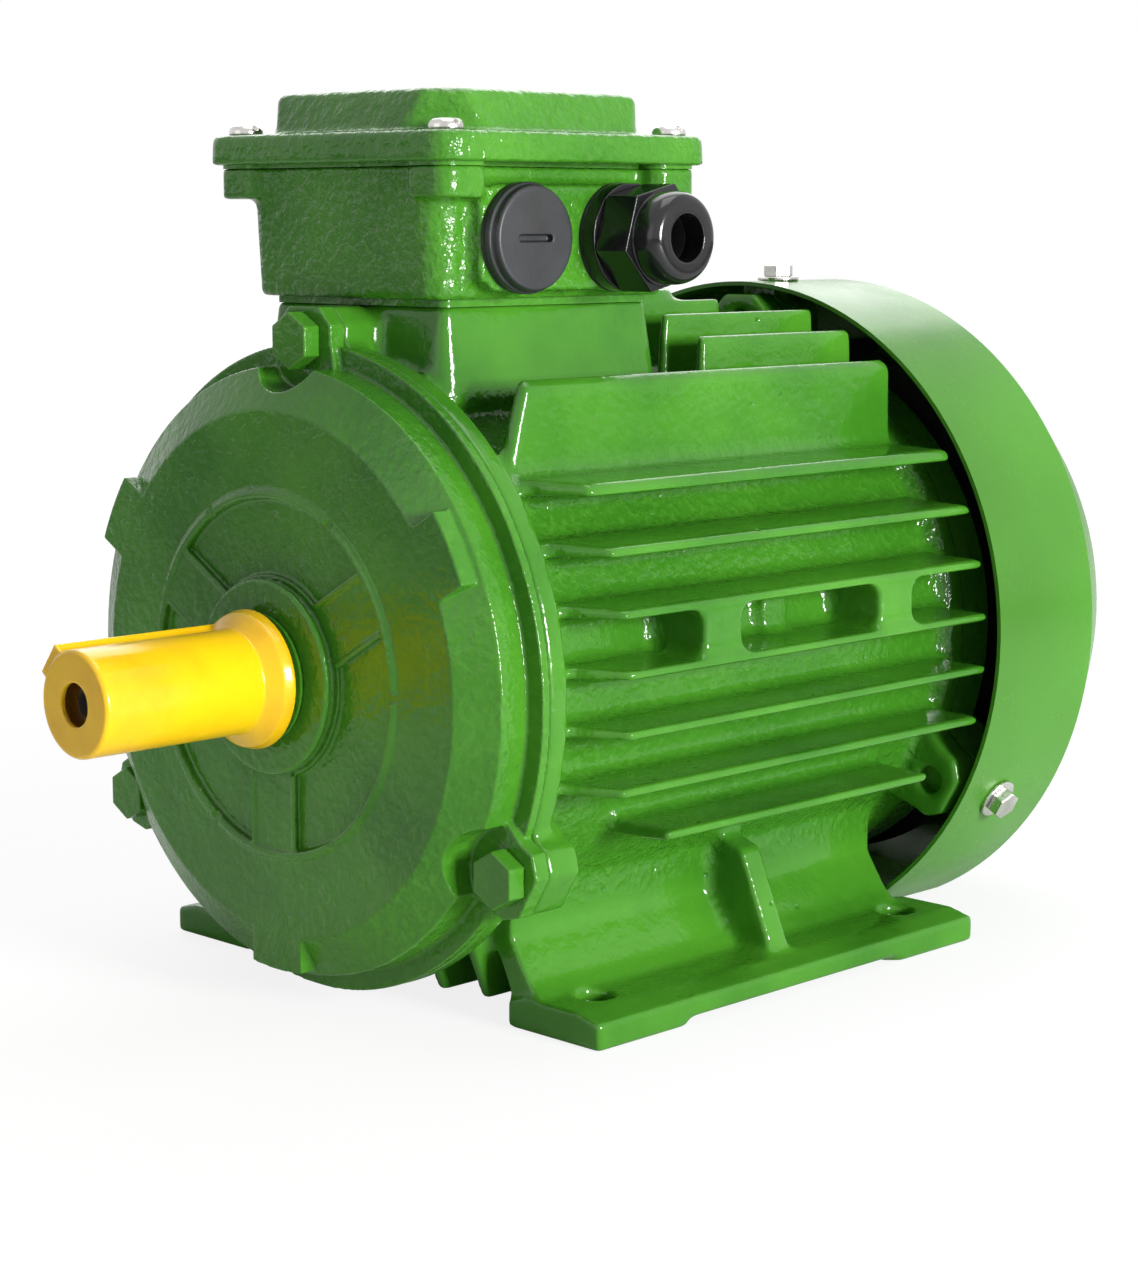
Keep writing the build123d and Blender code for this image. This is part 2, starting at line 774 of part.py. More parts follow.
# Rolling bearings: rings with ball grooves, balls and their cages
bearing_groove_radius = bearing_ball_radius + seat_gap
for end, start_y in (("front", front_bearing_y), ("rear", rear_bearing_y)):
    middle_y = start_y + bearing_width / 2
    with BuildPart() as outer_ring:
        with BuildSketch(axial_plane):
            with Locations((middle_y, (bearing_outer_shoulder + bearing_outer_radius) / 2)):
                Rectangle(bearing_width, bearing_outer_radius - bearing_outer_shoulder)
            with Locations((middle_y, bearing_pitch_radius)):
                Circle(bearing_groove_radius, mode=Mode.SUBTRACT)
        revolve(axis=shaft_axis)
    save(outer_ring.part, f"{end}_bearing_outer_ring")
    with BuildPart() as inner_ring:
        with BuildSketch(axial_plane):
            with Locations((middle_y, (bearing_bore_radius + press_gap + bearing_inner_shoulder) / 2)):
                Rectangle(bearing_width, bearing_inner_shoulder - bearing_bore_radius - press_gap)
            with Locations((middle_y, bearing_pitch_radius)):
                Circle(bearing_groove_radius, mode=Mode.SUBTRACT)
        revolve(axis=shaft_axis)
    save(inner_ring.part, f"{end}_bearing_inner_ring")
    with BuildPart() as balls:
        with Locations(across(middle_y)):
            with PolarLocations(bearing_pitch_radius, bearing_ball_count):
                Sphere(bearing_ball_radius)
    save(balls.part, f"{end}_bearing_balls")
    with BuildPart() as cage:
        with BuildSketch(across(middle_y - cage_width / 2)):
            Circle(bearing_pitch_radius + cage_thickness)
            Circle(bearing_pitch_radius - cage_thickness, mode=Mode.SUBTRACT)
        extrude(amount=-cage_width)
        with Locations(across(middle_y)):
            with PolarLocations(bearing_pitch_radius, bearing_ball_count):
                Cylinder(
                    bearing_ball_radius + seat_gap,
                    4 * cage_thickness,
                    rotation=(0, 90, 0),
                    mode=Mode.SUBTRACT,
                )
    save(cage.part, f"{end}_bearing_cage")

with BuildPart() as bearing_wave_spring:
    with BuildSketch(across(rear_bearing_end_y)):
        Circle(bearing_outer_radius - seat_gap)
        Circle(bearing_outer_shoulder, mode=Mode.SUBTRACT)
    extrude(amount=-wave_spring_height)
save(bearing_wave_spring.part, "bearing_wave_spring")


# Shaft with the keyway and the threaded centre hole of its drive end
with BuildPart() as shaft:
    with BuildSketch(axial_plane):
        with BuildLine():
            Polyline(
                (shaft_end_y, 0),
                (shaft_end_y, shaft_end_radius - shaft_end_chamfer),
                (shaft_end_y + shaft_end_chamfer, shaft_end_radius),
                (shoulder_y, shaft_end_radius),
                (shoulder_y, bearing_bore_radius),
                (front_bearing_y + bearing_width, bearing_bore_radius),
                (front_bearing_y + bearing_width, shaft_shoulder_radius),
                (core_front_y - rotor_seat_end, shaft_shoulder_radius),
                (core_front_y - rotor_seat_end, rotor_seat_radius),
                (core_rear_y + rotor_seat_end, rotor_seat_radius),
                (core_rear_y + rotor_seat_end, shaft_shoulder_radius),
                (rear_bearing_y, shaft_shoulder_radius),
                (rear_bearing_y, bearing_bore_radius),
                (fan_start_y - moving_gap, bearing_bore_radius),
                (fan_start_y - moving_gap, fan_seat_radius),
                (shaft_rear_y - shaft_end_chamfer, fan_seat_radius),
                (shaft_rear_y, fan_seat_radius - shaft_end_chamfer),
                (shaft_rear_y, 0),
                close=True,
            )
        make_face()
    revolve(axis=shaft_axis)
    with BuildSketch(axial_plane):
        with Locations((shaft_end_y + centre_hole_depth / 2, centre_hole_radius / 2)):
            Rectangle(centre_hole_depth, centre_hole_radius)
        with Locations((shaft_end_y + centre_mouth_depth / 2, centre_mouth_radius / 2)):
            Rectangle(centre_mouth_depth, centre_mouth_radius)
    revolve(axis=shaft_axis, mode=Mode.SUBTRACT)
    with BuildSketch(key_plane.offset(shaft_end_radius - keyway_depth)):
        with Locations((shaft_end_y + key_start + key_length / 2, 0)):
            SlotOverall(key_length + 2 * press_gap, key_width + 2 * press_gap)
    extrude(amount=keyway_depth + overcut, mode=Mode.SUBTRACT)
    with BuildSketch(axial_plane):
        with Locations((fan_start_y + fan_hub_length + circlip_thickness / 2 + seat_gap, fan_seat_radius)):
            Rectangle(circlip_thickness + seat_gap, circlip_height)
    revolve(axis=shaft_axis, mode=Mode.SUBTRACT)
save(shaft.part, "shaft")

with BuildPart() as drive_key:
    with BuildSketch(key_plane.offset(shaft_end_radius - keyway_depth)):
        with Locations((shaft_end_y + key_start + key_length / 2, 0)):
            SlotOverall(key_length, key_width)
    extrude(amount=key_height)
save(drive_key.part, "drive_key")


# Rotor: laminated core with the cast squirrel cage in its slots
def bar_outline(gap):
    """Half-symmetric outline of one rotor bar, smaller than its slot by the gap."""
    outer = rotor_radius - rotor_bar_cover - gap
    inner = rotor_radius - rotor_bar_depth + gap
    wide = rotor_bar_outer_width / 2 - gap
    narrow = rotor_bar_inner_width / 2 - gap
    return [(inner, -narrow), (outer, -wide), (outer, wide), (inner, narrow)]


with BuildPart() as rotor_core:
    with BuildSketch(across(core_front_y)):
        Circle(rotor_radius)
        Circle(rotor_seat_radius + press_gap, mode=Mode.SUBTRACT)
        with PolarLocations(0, rotor_bar_count):
            Polygon(*bar_outline(0), align=None, mode=Mode.SUBTRACT)
    extrude(amount=-core_length)
save(rotor_core.part, "rotor_core")

end_ring_vane_width = rotor_radius - end_ring_inner_radius - 2 * end_ring_vane_thickness
with BuildPart() as rotor_cage:
    for y, direction in ((core_front_y, 1), (core_rear_y, -1)):
        with BuildSketch(across(y)):
            Circle(rotor_radius)
            Circle(end_ring_inner_radius, mode=Mode.SUBTRACT)
        extrude(amount=direction * end_ring_length)
        with BuildSketch(across(y)):
            with PolarLocations((end_ring_inner_radius + rotor_radius) / 2, end_ring_vane_count):
                Rectangle(end_ring_vane_width, end_ring_vane_thickness)
        extrude(amount=direction * (end_ring_length + end_ring_vane_length))
    with BuildSketch(across(core_front_y)):
        with PolarLocations(0, rotor_bar_count):
            Polygon(*bar_outline(press_gap), align=None)
    extrude(amount=-core_length)
save(rotor_cage.part, "rotor_cage")


# Stator: slotted laminated core with the winding in its slots
def slot_outline(gap, start):
    """Outline of one stator slot from the radius start outwards, smaller by the gap."""
    mouth = rotor_radius + air_gap + slot_mouth_depth
    inner = mouth + slot_mouth_depth
    outer = rotor_radius + air_gap + slot_depth - gap
    if start < inner:
        half = slot_mouth_width / 2
        throat = [(start, -half), (mouth, -half)]
        return throat + [
            (inner, -slot_inner_width / 2),
            (outer, -slot_outer_width / 2),
            (outer, slot_outer_width / 2),
            (inner, slot_inner_width / 2),
            (mouth, half),
            (start, half),
        ]
    return [
        (start, gap - slot_inner_width / 2),
        (outer, gap - slot_outer_width / 2),
        (outer, slot_outer_width / 2 - gap),
        (start, slot_inner_width / 2 - gap),
    ]


with BuildPart() as stator_core:
    with BuildSketch(across(core_front_y)):
        Circle(stator_radius - press_gap)
        Circle(rotor_radius + air_gap, mode=Mode.SUBTRACT)
        with PolarLocations(0, slot_count):
            Polygon(*slot_outline(0, rotor_radius), align=None, mode=Mode.SUBTRACT)
    extrude(amount=-core_length)
save(stator_core.part, "stator_core")

coil_inner_radius = rotor_radius + air_gap + 2 * slot_mouth_depth + slot_liner
coil_middle_radius = (coil_inner_radius + coil_outer_radius) / 2
with BuildPart() as stator_winding:
    with BuildSketch(axial_plane) as coil_ends:
        for y, side in ((core_front_y, -1), (core_rear_y, 1)):
            with Locations((y + side * (seat_gap + coil_overhang / 2), coil_middle_radius)):
                Rectangle(coil_overhang, coil_outer_radius - coil_inner_radius)
        chamfer(coil_ends.vertices(), length=coil_end_corner)
    revolve(axis=shaft_axis)
    with BuildSketch(across(core_front_y - coil_overhang / 2)):
        with PolarLocations(0, slot_count):
            Polygon(*slot_outline(slot_liner, coil_inner_radius + slot_liner), align=None)
    extrude(amount=-core_length - coil_overhang)
save(stator_winding.part, "stator_winding")


# Shaft seal in front of the drive endshield
with BuildPart() as shaft_seal:
    with BuildSketch(axial_plane):
        seal_y = hub_boss_y - moving_gap
        Polygon(
            (seal_y, seal_radius),
            (seal_y - seal_width / 3, seal_radius),
            (seal_y - seal_width / 2, bearing_bore_radius + seal_width),
            (seal_y - seal_width, bearing_bore_radius + seal_width),
            (seal_y - seal_width, bearing_bore_radius + press_gap),
            (seal_y, bearing_bore_radius + press_gap),
            (seal_y, bearing_bore_radius + seal_width / 2),
            (seal_y - seal_width / 3, bearing_bore_radius + seal_width),
            align=None,
        )
    revolve(axis=shaft_axis)
save(shaft_seal.part, "shaft_seal")


# Cooling fan on the rear end of the shaft
fan_bore_radius = fan_seat_radius + press_gap
with BuildPart() as cooling_fan:
    with BuildSketch(axial_plane):
        with Locations((fan_start_y + fan_hub_length / 2, (fan_bore_radius + fan_hub_radius) / 2)):
            Rectangle(fan_hub_length, fan_hub_radius - fan_bore_radius)
        Polygon(
            (fan_start_y, fan_hub_radius - fan_disc_thickness),
            (fan_start_y + fan_disc_thickness, fan_hub_radius - fan_disc_thickness),
            (fan_start_y + 2 * fan_disc_thickness, fan_radius),
            (fan_start_y + fan_disc_thickness, fan_radius),
            align=None,
        )
    revolve(axis=shaft_axis)
    with BuildSketch(axial_plane):
        Polygon(
            (fan_start_y + fan_disc_thickness / 2, fan_hub_radius - fan_disc_thickness),
            (fan_start_y + fan_hub_length, fan_hub_radius - fan_disc_thickness),
            (fan_blade_end_y, fan_blade_inner_radius),
            (fan_blade_end_y, fan_radius),
            (fan_start_y + fan_disc_thickness * 3 / 2, fan_radius),
            align=None,
        )
    fan_blade = extrude(amount=fan_blade_thickness / 2, both=True, mode=Mode.PRIVATE)
    for blade in range(fan_blade_count):
        add(fan_blade.rotate(shaft_axis, blade * 360 / fan_blade_count))
save(cooling_fan.part, "cooling_fan")

with BuildPart() as fan_circlip:
    with BuildSketch(across(fan_start_y + fan_hub_length + seat_gap)):
        Circle(fan_seat_radius + circlip_height / 2)
        Circle(fan_seat_radius - circlip_height / 2 + press_gap, mode=Mode.SUBTRACT)
        with Locations((0, fan_seat_radius)):
            Rectangle(circlip_height, 2 * circlip_height, mode=Mode.SUBTRACT)
    extrude(amount=-circlip_thickness)
save(fan_circlip.part, "fan_circlip")


# Fan cover: pressed sheet with a flat underside and an inlet grille
def cover_body(inset):
    """Solid bounded by the cover's outer skin, moved inwards by the inset."""
    with BuildPart() as body:
        with BuildSketch(axial_plane):
            Polygon(
                (cover_front_y - inset, 0),
                (cover_front_y - inset, cover_radius - inset),
                (cover_crease_y, cover_radius - inset),
                (cover_cone_y - inset / 2, cover_cone_radius - inset),
                (cover_end_y - inset, cover_end_radius - inset / 2),
                (cover_end_y - inset, 0),
                align=None,
            )
        revolve(axis=shaft_axis)
        split(bisect_by=Plane.XY.offset(cover_flat_z + inset), keep=Keep.TOP)
    return body.part


with BuildPart() as fan_cover:
    add(cover_body(0))
    add(cover_body(cover_wall), mode=Mode.SUBTRACT)
    with BuildSketch(across(cover_end_y)) as grille:
        for ring in reversed(range(grille_ring_count)):
            inner = grille_inner_radius + ring * (grille_slot_width + grille_web)
            Circle(inner + grille_slot_width)
            Circle(inner, mode=Mode.SUBTRACT)
        with PolarLocations(cover_end_radius / 2, grille_spoke_count, start_angle=ear_start_angle):
            Rectangle(cover_end_radius, grille_spoke_width, mode=Mode.SUBTRACT)
    extrude(amount=2 * cover_wall, both=True, mode=Mode.SUBTRACT)
    with BuildSketch(cover_top):
        Circle(cover_screw_radius + seat_gap)
    screw_hole = extrude(amount=-4 * cover_wall, mode=Mode.PRIVATE)
    for hole in around_shaft(screw_hole):
        add(hole, mode=Mode.SUBTRACT)
save(fan_cover.part, "fan_cover")


# Screws and washers of the fan cover, radial on the endshield's bosses
with BuildPart(cover_top) as cover_washer:
    Cylinder(cover_washer_radius, cover_washer_thickness, align=(Align.CENTER, Align.CENTER, Align.MIN))
    Hole(cover_screw_radius + seat_gap)
with BuildPart() as fan_cover_washers:
    for washer in around_shaft(cover_washer.part):
        add(washer)
save(fan_cover_washers.part, "fan_cover_washers")

with BuildPart() as cover_screw:
    with BuildSketch(cover_top.offset(cover_washer_thickness)):
        RegularPolygon(cover_screw_head_flats / 2, 6, major_radius=False)
    extrude(amount=cover_screw_head_height)
    with BuildSketch(cover_top.offset(cover_washer_thickness)):
        Circle(cover_screw_radius)
    extrude(amount=-cover_screw_length)
with BuildPart() as fan_cover_screws:
    for screw in around_shaft(cover_screw.part):
        add(screw)
save(fan_cover_screws.part, "fan_cover_screws")


# Terminal box on its gasket
box_floor_z = seat_z + gasket_thickness
box_height = box_rim_z - box_floor_z
with BuildPart() as terminal_box_gasket:
    with BuildSketch(level(seat_z)):
        with Locations((0, box_shift_y)):
            RectangleRounded(2 * seat_half_x, 2 * seat_half_y, seat_corner)
        RectangleRounded(seat_throat_x, seat_throat_y, seat_throat_corner, mode=Mode.SUBTRACT)
        with Locations(*seat_screw_places, *board_screw_places):
            Circle(seat_screw_radius + seat_gap, mode=Mode.SUBTRACT)
    extrude(amount=gasket_thickness)
save(terminal_box_gasket.part, "terminal_box_gasket")


def entry_plane(side, x=entry_face_x):
    """Plane at a cable entry, its normal along +X; side -1 is the plug and side 1 the gland."""
    return Plane(
        origin=(x, box_centre_y + side * entry_spread / 2, entry_z),
        x_dir=(0, 1, 0),
        z_dir=(1, 0, 0),
    )


with BuildPart() as terminal_box:
    with BuildSketch(level(box_floor_z)):
        with Locations((0, box_shift_y)):
            RectangleRounded(2 * box_half_x, 2 * box_half_y, box_corner)
    extrude(amount=box_height, taper=-box_draft)
    fillet(terminal_box.faces().sort_by(Axis.Z)[0].edges(), radius=box_bottom_round)
    with BuildSketch(Plane.YZ.offset(entry_face_x)):
        with Locations((box_centre_y, (entry_pad_bottom_z + entry_pad_top_z) / 2)):
            RectangleRounded(2 * entry_pad_half_y, entry_pad_top_z - entry_pad_bottom_z, entry_pad_corner)
    extrude(amount=box_half_x - box_wall - entry_face_x)
    with BuildSketch(level(box_rim_z)):
        with lid_boss_places():
            RectangleRounded(lid_boss_size, lid_boss_size, lid_boss_corner)
    extrude(amount=-lid_boss_height)
    with BuildSketch(level(box_floor_z + box_floor)):
        with Locations((0, box_shift_y)):
            RectangleRounded(
                2 * (box_half_x - box_wall),
                2 * (box_half_y - box_wall),
                box_corner - box_wall / 2,
            )
    extrude(amount=box_height - box_floor, taper=-box_draft, mode=Mode.SUBTRACT)
    with BuildSketch(level(box_floor_z)):
        RectangleRounded(seat_throat_x, seat_throat_y, seat_throat_corner)
    extrude(amount=box_floor, mode=Mode.SUBTRACT)
    with Locations(level(box_floor_z + box_floor)):
        with Locations(*seat_screw_places, *board_screw_places):
            Hole(seat_screw_radius + seat_gap, depth=box_floor)
    with Locations(level(box_rim_z)):
        with lid_screw_places():
            Hole(lid_screw_radius + thread_gap, depth=lid_boss_height)
    for side in (-1, 1):
        with BuildSketch(entry_plane(side)):
            Circle(entry_radius)
        extrude(amount=-entry_thread_length, mode=Mode.SUBTRACT)
save(terminal_box.part, "terminal_box")


def floor_screws(places):
    """Pan head screws that stand on the floor of the box and hold it on the frame."""
    with BuildPart() as screws:
        with BuildSketch(level(box_floor_z + box_floor)):
            with Locations(*places):
                Circle(seat_screw_head_radius)
        extrude(amount=seat_screw_head_height)
        with BuildSketch(level(box_floor_z + box_floor)):
            with Locations(*places):
                Circle(seat_screw_radius)
        extrude(amount=-seat_screw_length)
    return screws.part


save(floor_screws(seat_screw_places[:-1]), "terminal_box_screws")
save(floor_screws(seat_screw_places[-1:]), "earth_screw")


# Lid with its gasket and screws
lid_z = box_rim_z + lid_gasket_thickness
lid_top_z = lid_z + lid_edge_height
rim_half_x = box_half_x + box_height * tan(radians(box_draft))
rim_half_y = box_half_y + box_height * tan(radians(box_draft))

with BuildPart() as lid_gasket:
    with BuildSketch(level(box_rim_z)):
        with Locations((0, box_shift_y)):
            RectangleRounded(2 * rim_half_x, 2 * rim_half_y, box_corner)
        with lid_boss_places():
            RectangleRounded(lid_boss_size, lid_boss_size, lid_boss_corner)
        with Locations((0, box_shift_y)):
            RectangleRounded(
                2 * (rim_half_x - box_wall),
                2 * (rim_half_y - box_wall),
                box_corner - box_wall / 2,
                mode=Mode.SUBTRACT,
            )
        with lid_screw_places():
            Circle(lid_screw_radius + seat_gap, mode=Mode.SUBTRACT)
    extrude(amount=lid_gasket_thickness)
save(lid_gasket.part, "lid_gasket")

with BuildPart() as lid_panel:
    with BuildSketch(level(lid_top_z)):
        Rectangle(2 * lid_panel_half_x, 2 * lid_panel_half_y)
    extrude(amount=lid_panel_height, taper=lid_panel_draft)
    with BuildSketch(level(lid_top_z)) as panel_outline:
        Rectangle(2 * lid_panel_half_x, 2 * lid_panel_half_y)
        chamfer(panel_outline.vertices(), length=lid_panel_corner)
    extrude(amount=lid_panel_height, mode=Mode.INTERSECT)
    fillet(
        lid_panel.edges().filter_by(lambda edge: edge.center().Z > lid_top_z + seat_gap),
        radius=lid_panel_round,
    )

with BuildPart() as terminal_box_lid:
    with BuildSketch(level(lid_z)):
        RectangleRounded(2 * lid_half_x, 2 * lid_half_y, lid_corner)
    extrude(amount=lid_edge_height, taper=lid_edge_draft)
    fillet(terminal_box_lid.faces().sort_by(Axis.Z)[-1].edges(), radius=lid_edge_round)
    add(lid_panel.part)
    with BuildSketch(level(lid_z)) as lid_cavity:
        Rectangle(2 * (lid_panel_half_x - lid_rim), 2 * (lid_panel_half_y - lid_rim))
        chamfer(lid_cavity.vertices(), length=lid_panel_corner)
    extrude(
        amount=lid_edge_height + lid_panel_height - lid_wall,
        taper=lid_panel_draft,
        mode=Mode.SUBTRACT,
    )
    with Locations(level(lid_top_z)):
        with lid_screw_places():
            Hole(lid_screw_radius + seat_gap, depth=lid_edge_height)
save(terminal_box_lid.part, "terminal_box_lid")

with BuildPart() as lid_screws:
    with BuildSketch(level(lid_top_z)):
        with lid_screw_places():
            Circle(lid_screw_head_radius)
    extrude(amount=lid_screw_head_height)
    fillet(lid_screws.faces().sort_by(Axis.Z)[-4:].edges(), radius=lid_screw_head_round)
    with BuildSketch(level(lid_top_z)):
        with lid_screw_places():
            Circle(lid_screw_radius)
    extrude(amount=-lid_screw_length)
    with BuildSketch(level(lid_top_z + lid_screw_head_height)):
        with lid_screw_places():
            Rectangle(2 * lid_screw_head_radius, lid_slot_width)
            Rectangle(lid_slot_width, lid_cross_length)
    extrude(amount=-lid_slot_depth, mode=Mode.SUBTRACT)
save(lid_screws.part, "lid_screws")


# Terminal board with studs, nuts and links, and the earth screw
board_z = box_floor_z + box_floor + board_foot_height
board_top_z = board_z + board_thickness


def board_level(z):
    """Horizontal plane at z over the middle of the terminal board."""
    return Plane.XY.offset(z).move(Location((board_x, box_centre_y, 0)))


def stud_places():
    """The places of the terminal studs."""
    return GridLocations(stud_pitch_x, stud_pitch_y, stud_rows, stud_columns)


with BuildPart() as terminal_board:
    with BuildSketch(board_level(board_z)):
        RectangleRounded(2 * board_half_x, 2 * board_half_y, board_foot_radius)
    extrude(amount=board_thickness)
    for row in (-1, 1):
        with BuildSketch(board_level(board_top_z)):
            with Locations((0, row * stud_pitch_y / 2)):
                Rectangle(2 * board_half_x, link_thickness)
        extrude(amount=nut_height)
    with BuildSketch(board_level(board_z)):
        with Locations((0, board_half_y - board_foot_radius), (0, board_foot_radius - board_half_y)):
            Circle(board_foot_radius)
    extrude(amount=-board_foot_height)
    with Locations(board_level(board_top_z)):
        with stud_places():
            Hole(stud_radius + press_gap, depth=board_thickness)
    with Locations(level(board_top_z)):
        with Locations(*board_screw_places):
            Hole(board_screw_radius + seat_gap, depth=board_thickness + board_foot_height)
save(terminal_board.part, "terminal_board")

with BuildPart() as terminal_studs:
    with BuildSketch(board_level(board_z)):
        with stud_places():
            Circle(stud_radius)
    extrude(amount=stud_height)
save(terminal_studs.part, "terminal_studs")

with BuildPart() as terminal_links:
    with BuildSketch(board_level(board_top_z)):
        with GridLocations(0, stud_pitch_y, 1, stud_columns):
            SlotCenterToCenter(stud_pitch_x, link_width)
        with stud_places():
            Circle(stud_radius + press_gap, mode=Mode.SUBTRACT)
    extrude(amount=link_thickness)
save(terminal_links.part, "terminal_links")

with BuildPart() as terminal_nuts:
    with BuildSketch(board_level(board_top_z + link_thickness)):
        with stud_places():
            RegularPolygon(nut_flats / 2, 6, major_radius=False)
            Circle(stud_radius + press_gap, mode=Mode.SUBTRACT)
    extrude(amount=nut_height)
save(terminal_nuts.part, "terminal_nuts")

with BuildPart() as terminal_board_screws:
    with BuildSketch(level(board_top_z)):
        with Locations(*board_screw_places):
            Circle(board_screw_head_radius)
    extrude(amount=board_screw_head_height)
    with BuildSketch(level(board_top_z)):
        with Locations(*board_screw_places):
            Circle(board_screw_radius)
    extrude(amount=-board_screw_length)
save(terminal_board_screws.part, "terminal_board_screws")


# Blanking plug and cable gland in the two entries
def entry_seal(side, radius):
    """Flat rubber ring under the flange of a plug or gland."""
    with BuildPart() as seal:
        with BuildSketch(entry_plane(side)):
            Circle(radius)
            Circle(entry_thread_radius + press_gap, mode=Mode.SUBTRACT)
        extrude(amount=entry_seal_thickness)
    return seal.part


flange_x = entry_face_x + entry_seal_thickness
thread_end_x = entry_face_x - entry_thread_length
save(entry_seal(-1, plug_flange_radius), "blanking_plug_seal")
save(entry_seal(1, gland_flange_radius), "cable_gland_seal")

with BuildPart() as blanking_plug:
    with BuildSketch(entry_plane(-1, flange_x)):
        Circle(plug_flange_radius)
    extrude(amount=plug_flange_thickness)
    with BuildSketch(entry_plane(-1, flange_x + plug_flange_thickness)):
        Circle(plug_head_radius)
    extrude(amount=plug_head_height)
    fillet(blanking_plug.faces().sort_by(Axis.X)[-1].edges(), radius=plug_head_height / 3)
    with BuildSketch(entry_plane(-1, flange_x + plug_flange_thickness + plug_head_height)):
        SlotOverall(plug_slot_length, plug_slot_width)
    extrude(amount=-plug_slot_depth, mode=Mode.SUBTRACT)
    with BuildSketch(entry_plane(-1, flange_x)):
        Circle(entry_thread_radius)
        Circle(entry_thread_radius - plug_wall, mode=Mode.SUBTRACT)
    extrude(amount=thread_end_x - flange_x)
save(blanking_plug.part, "blanking_plug")

gland_neck_x = flange_x + gland_flange_length
gland_nut_x = gland_neck_x + moving_gap
gland_axis = Axis(entry_plane(1).origin, (1, 0, 0))
gland_section = Plane(origin=entry_plane(1, 0).origin, x_dir=(1, 0, 0), z_dir=(0, -1, 0))
with BuildPart() as gland_body:
    with BuildSketch(entry_plane(1, flange_x)):
        Circle(gland_flange_radius)
        RegularPolygon(gland_flange_radius - seat_gap, 6, major_radius=False, mode=Mode.INTERSECT)
    extrude(amount=gland_flange_length)
    with BuildSketch(entry_plane(1, gland_neck_x)):
        Circle(gland_neck_radius)
    extrude(amount=gland_neck_length)
    with BuildSketch(entry_plane(1, flange_x)):
        Circle(entry_thread_radius)
    extrude(amount=thread_end_x - flange_x)
    with BuildSketch(entry_plane(1, gland_neck_x + gland_neck_length)):
        Circle(gland_insert_radius + press_gap)
    extrude(amount=-gland_neck_length, mode=Mode.SUBTRACT)
    with BuildSketch(entry_plane(1, gland_neck_x)):
        Circle(gland_cable_radius + moving_gap)
    extrude(amount=thread_end_x - gland_neck_x, mode=Mode.SUBTRACT)
save(gland_body.part, "gland_body")

with BuildPart() as gland_insert:
    with BuildSketch(entry_plane(1, gland_neck_x)):
        Circle(gland_insert_radius)
        Circle(gland_cable_radius, mode=Mode.SUBTRACT)
    extrude(amount=gland_insert_length)
save(gland_insert.part, "gland_insert")

gland_end_x = gland_nut_x + gland_nut_length
gland_groove_x = gland_nut_x + gland_hex_length
with BuildPart() as gland_cap_nut:
    with BuildSketch(gland_section):
        with BuildLine():
            Polyline(
                (gland_end_x, gland_cable_radius),
                (gland_nut_x, gland_cable_radius),
                (gland_nut_x, gland_groove_radius),
                (gland_groove_x + gland_groove_width, gland_groove_radius),
                (gland_groove_x + gland_groove_width, gland_dome_radius),
                (gland_end_x - gland_nose_length, gland_dome_radius),
            )
            Spline(
                (gland_end_x - gland_nose_length, gland_dome_radius),
                (gland_end_x, gland_nose_radius),
                tangents=((1, 0), (0, -1)),
            )
            Line((gland_end_x, gland_nose_radius), (gland_end_x, gland_cable_radius))
        make_face()
    revolve(axis=gland_axis)
    with BuildSketch(entry_plane(1, gland_nut_x)):
        RegularPolygon(gland_nut_flats / 2, 6, major_radius=False, rotation=gland_nut_turn)
    extrude(amount=gland_hex_length)
    with BuildSketch(entry_plane(1, gland_nut_x)):
        Circle(gland_neck_radius + thread_gap)
    extrude(amount=gland_neck_length + moving_gap, mode=Mode.SUBTRACT)
    with BuildSketch(entry_plane(1, gland_nut_x)):
        Circle(gland_insert_radius + seat_gap)
    extrude(amount=gland_insert_length, mode=Mode.SUBTRACT)
save(gland_cap_nut.part, "gland_cap_nut")


# Cap that covers the shaft end and its key for transport
cap_end_y = shaft_end_y - cap_end_gap - cap_wall
cap_bore_radius = shaft_end_radius + running_gap
cap_outer_radius = cap_bore_radius + cap_wall
with BuildPart() as shaft_cap:
    with BuildSketch(axial_plane):
        Polygon(
            (cap_end_y, 0),
            (cap_end_y, cap_outer_radius - cap_wall / 2),
            (cap_end_y + cap_wall / 2, cap_outer_radius),
            (cap_flange_y - cap_flange_length, cap_outer_radius),
            (cap_flange_y - cap_flange_length / 2, cap_flange_radius - cap_wall / 2),
            (cap_flange_y - cap_wall / 2, cap_flange_radius),
            (cap_flange_y, cap_flange_radius),
            (cap_flange_y, 0),
            align=None,
        )
    revolve(axis=shaft_axis)
    with BuildSketch(key_plane):
        with Locations(((cap_end_y + cap_flange_y) / 2, 0)):
            Rectangle(cap_flange_y - cap_end_y - cap_flange_length / 2, cap_ridge_width)
    extrude(amount=cap_ridge_radius)
    with BuildSketch(axial_plane):
        with Locations(((shaft_end_y - cap_end_gap + cap_flange_y) / 2, cap_bore_radius / 2)):
            Rectangle(cap_flange_y - shaft_end_y + cap_end_gap, cap_bore_radius)
        with Locations((cap_flange_y, (bearing_bore_radius + moving_gap) / 2)):
            Rectangle(4 * (cap_flange_y - shoulder_y), bearing_bore_radius + moving_gap)
        with Locations((cap_end_y, cap_end_hole_radius / 2)):
            Rectangle(4 * cap_wall, cap_end_hole_radius)
    revolve(axis=shaft_axis, mode=Mode.SUBTRACT)
    with BuildSketch(key_plane):
        with Locations(((shaft_end_y + cap_flange_y) / 2, 0)):
            Rectangle(cap_flange_y - shaft_end_y + 2 * moving_gap, key_width + 2 * moving_gap)
    extrude(amount=shaft_end_radius - keyway_depth + key_height + moving_gap, mode=Mode.SUBTRACT)
save(shaft_cap.part, "shaft_cap")
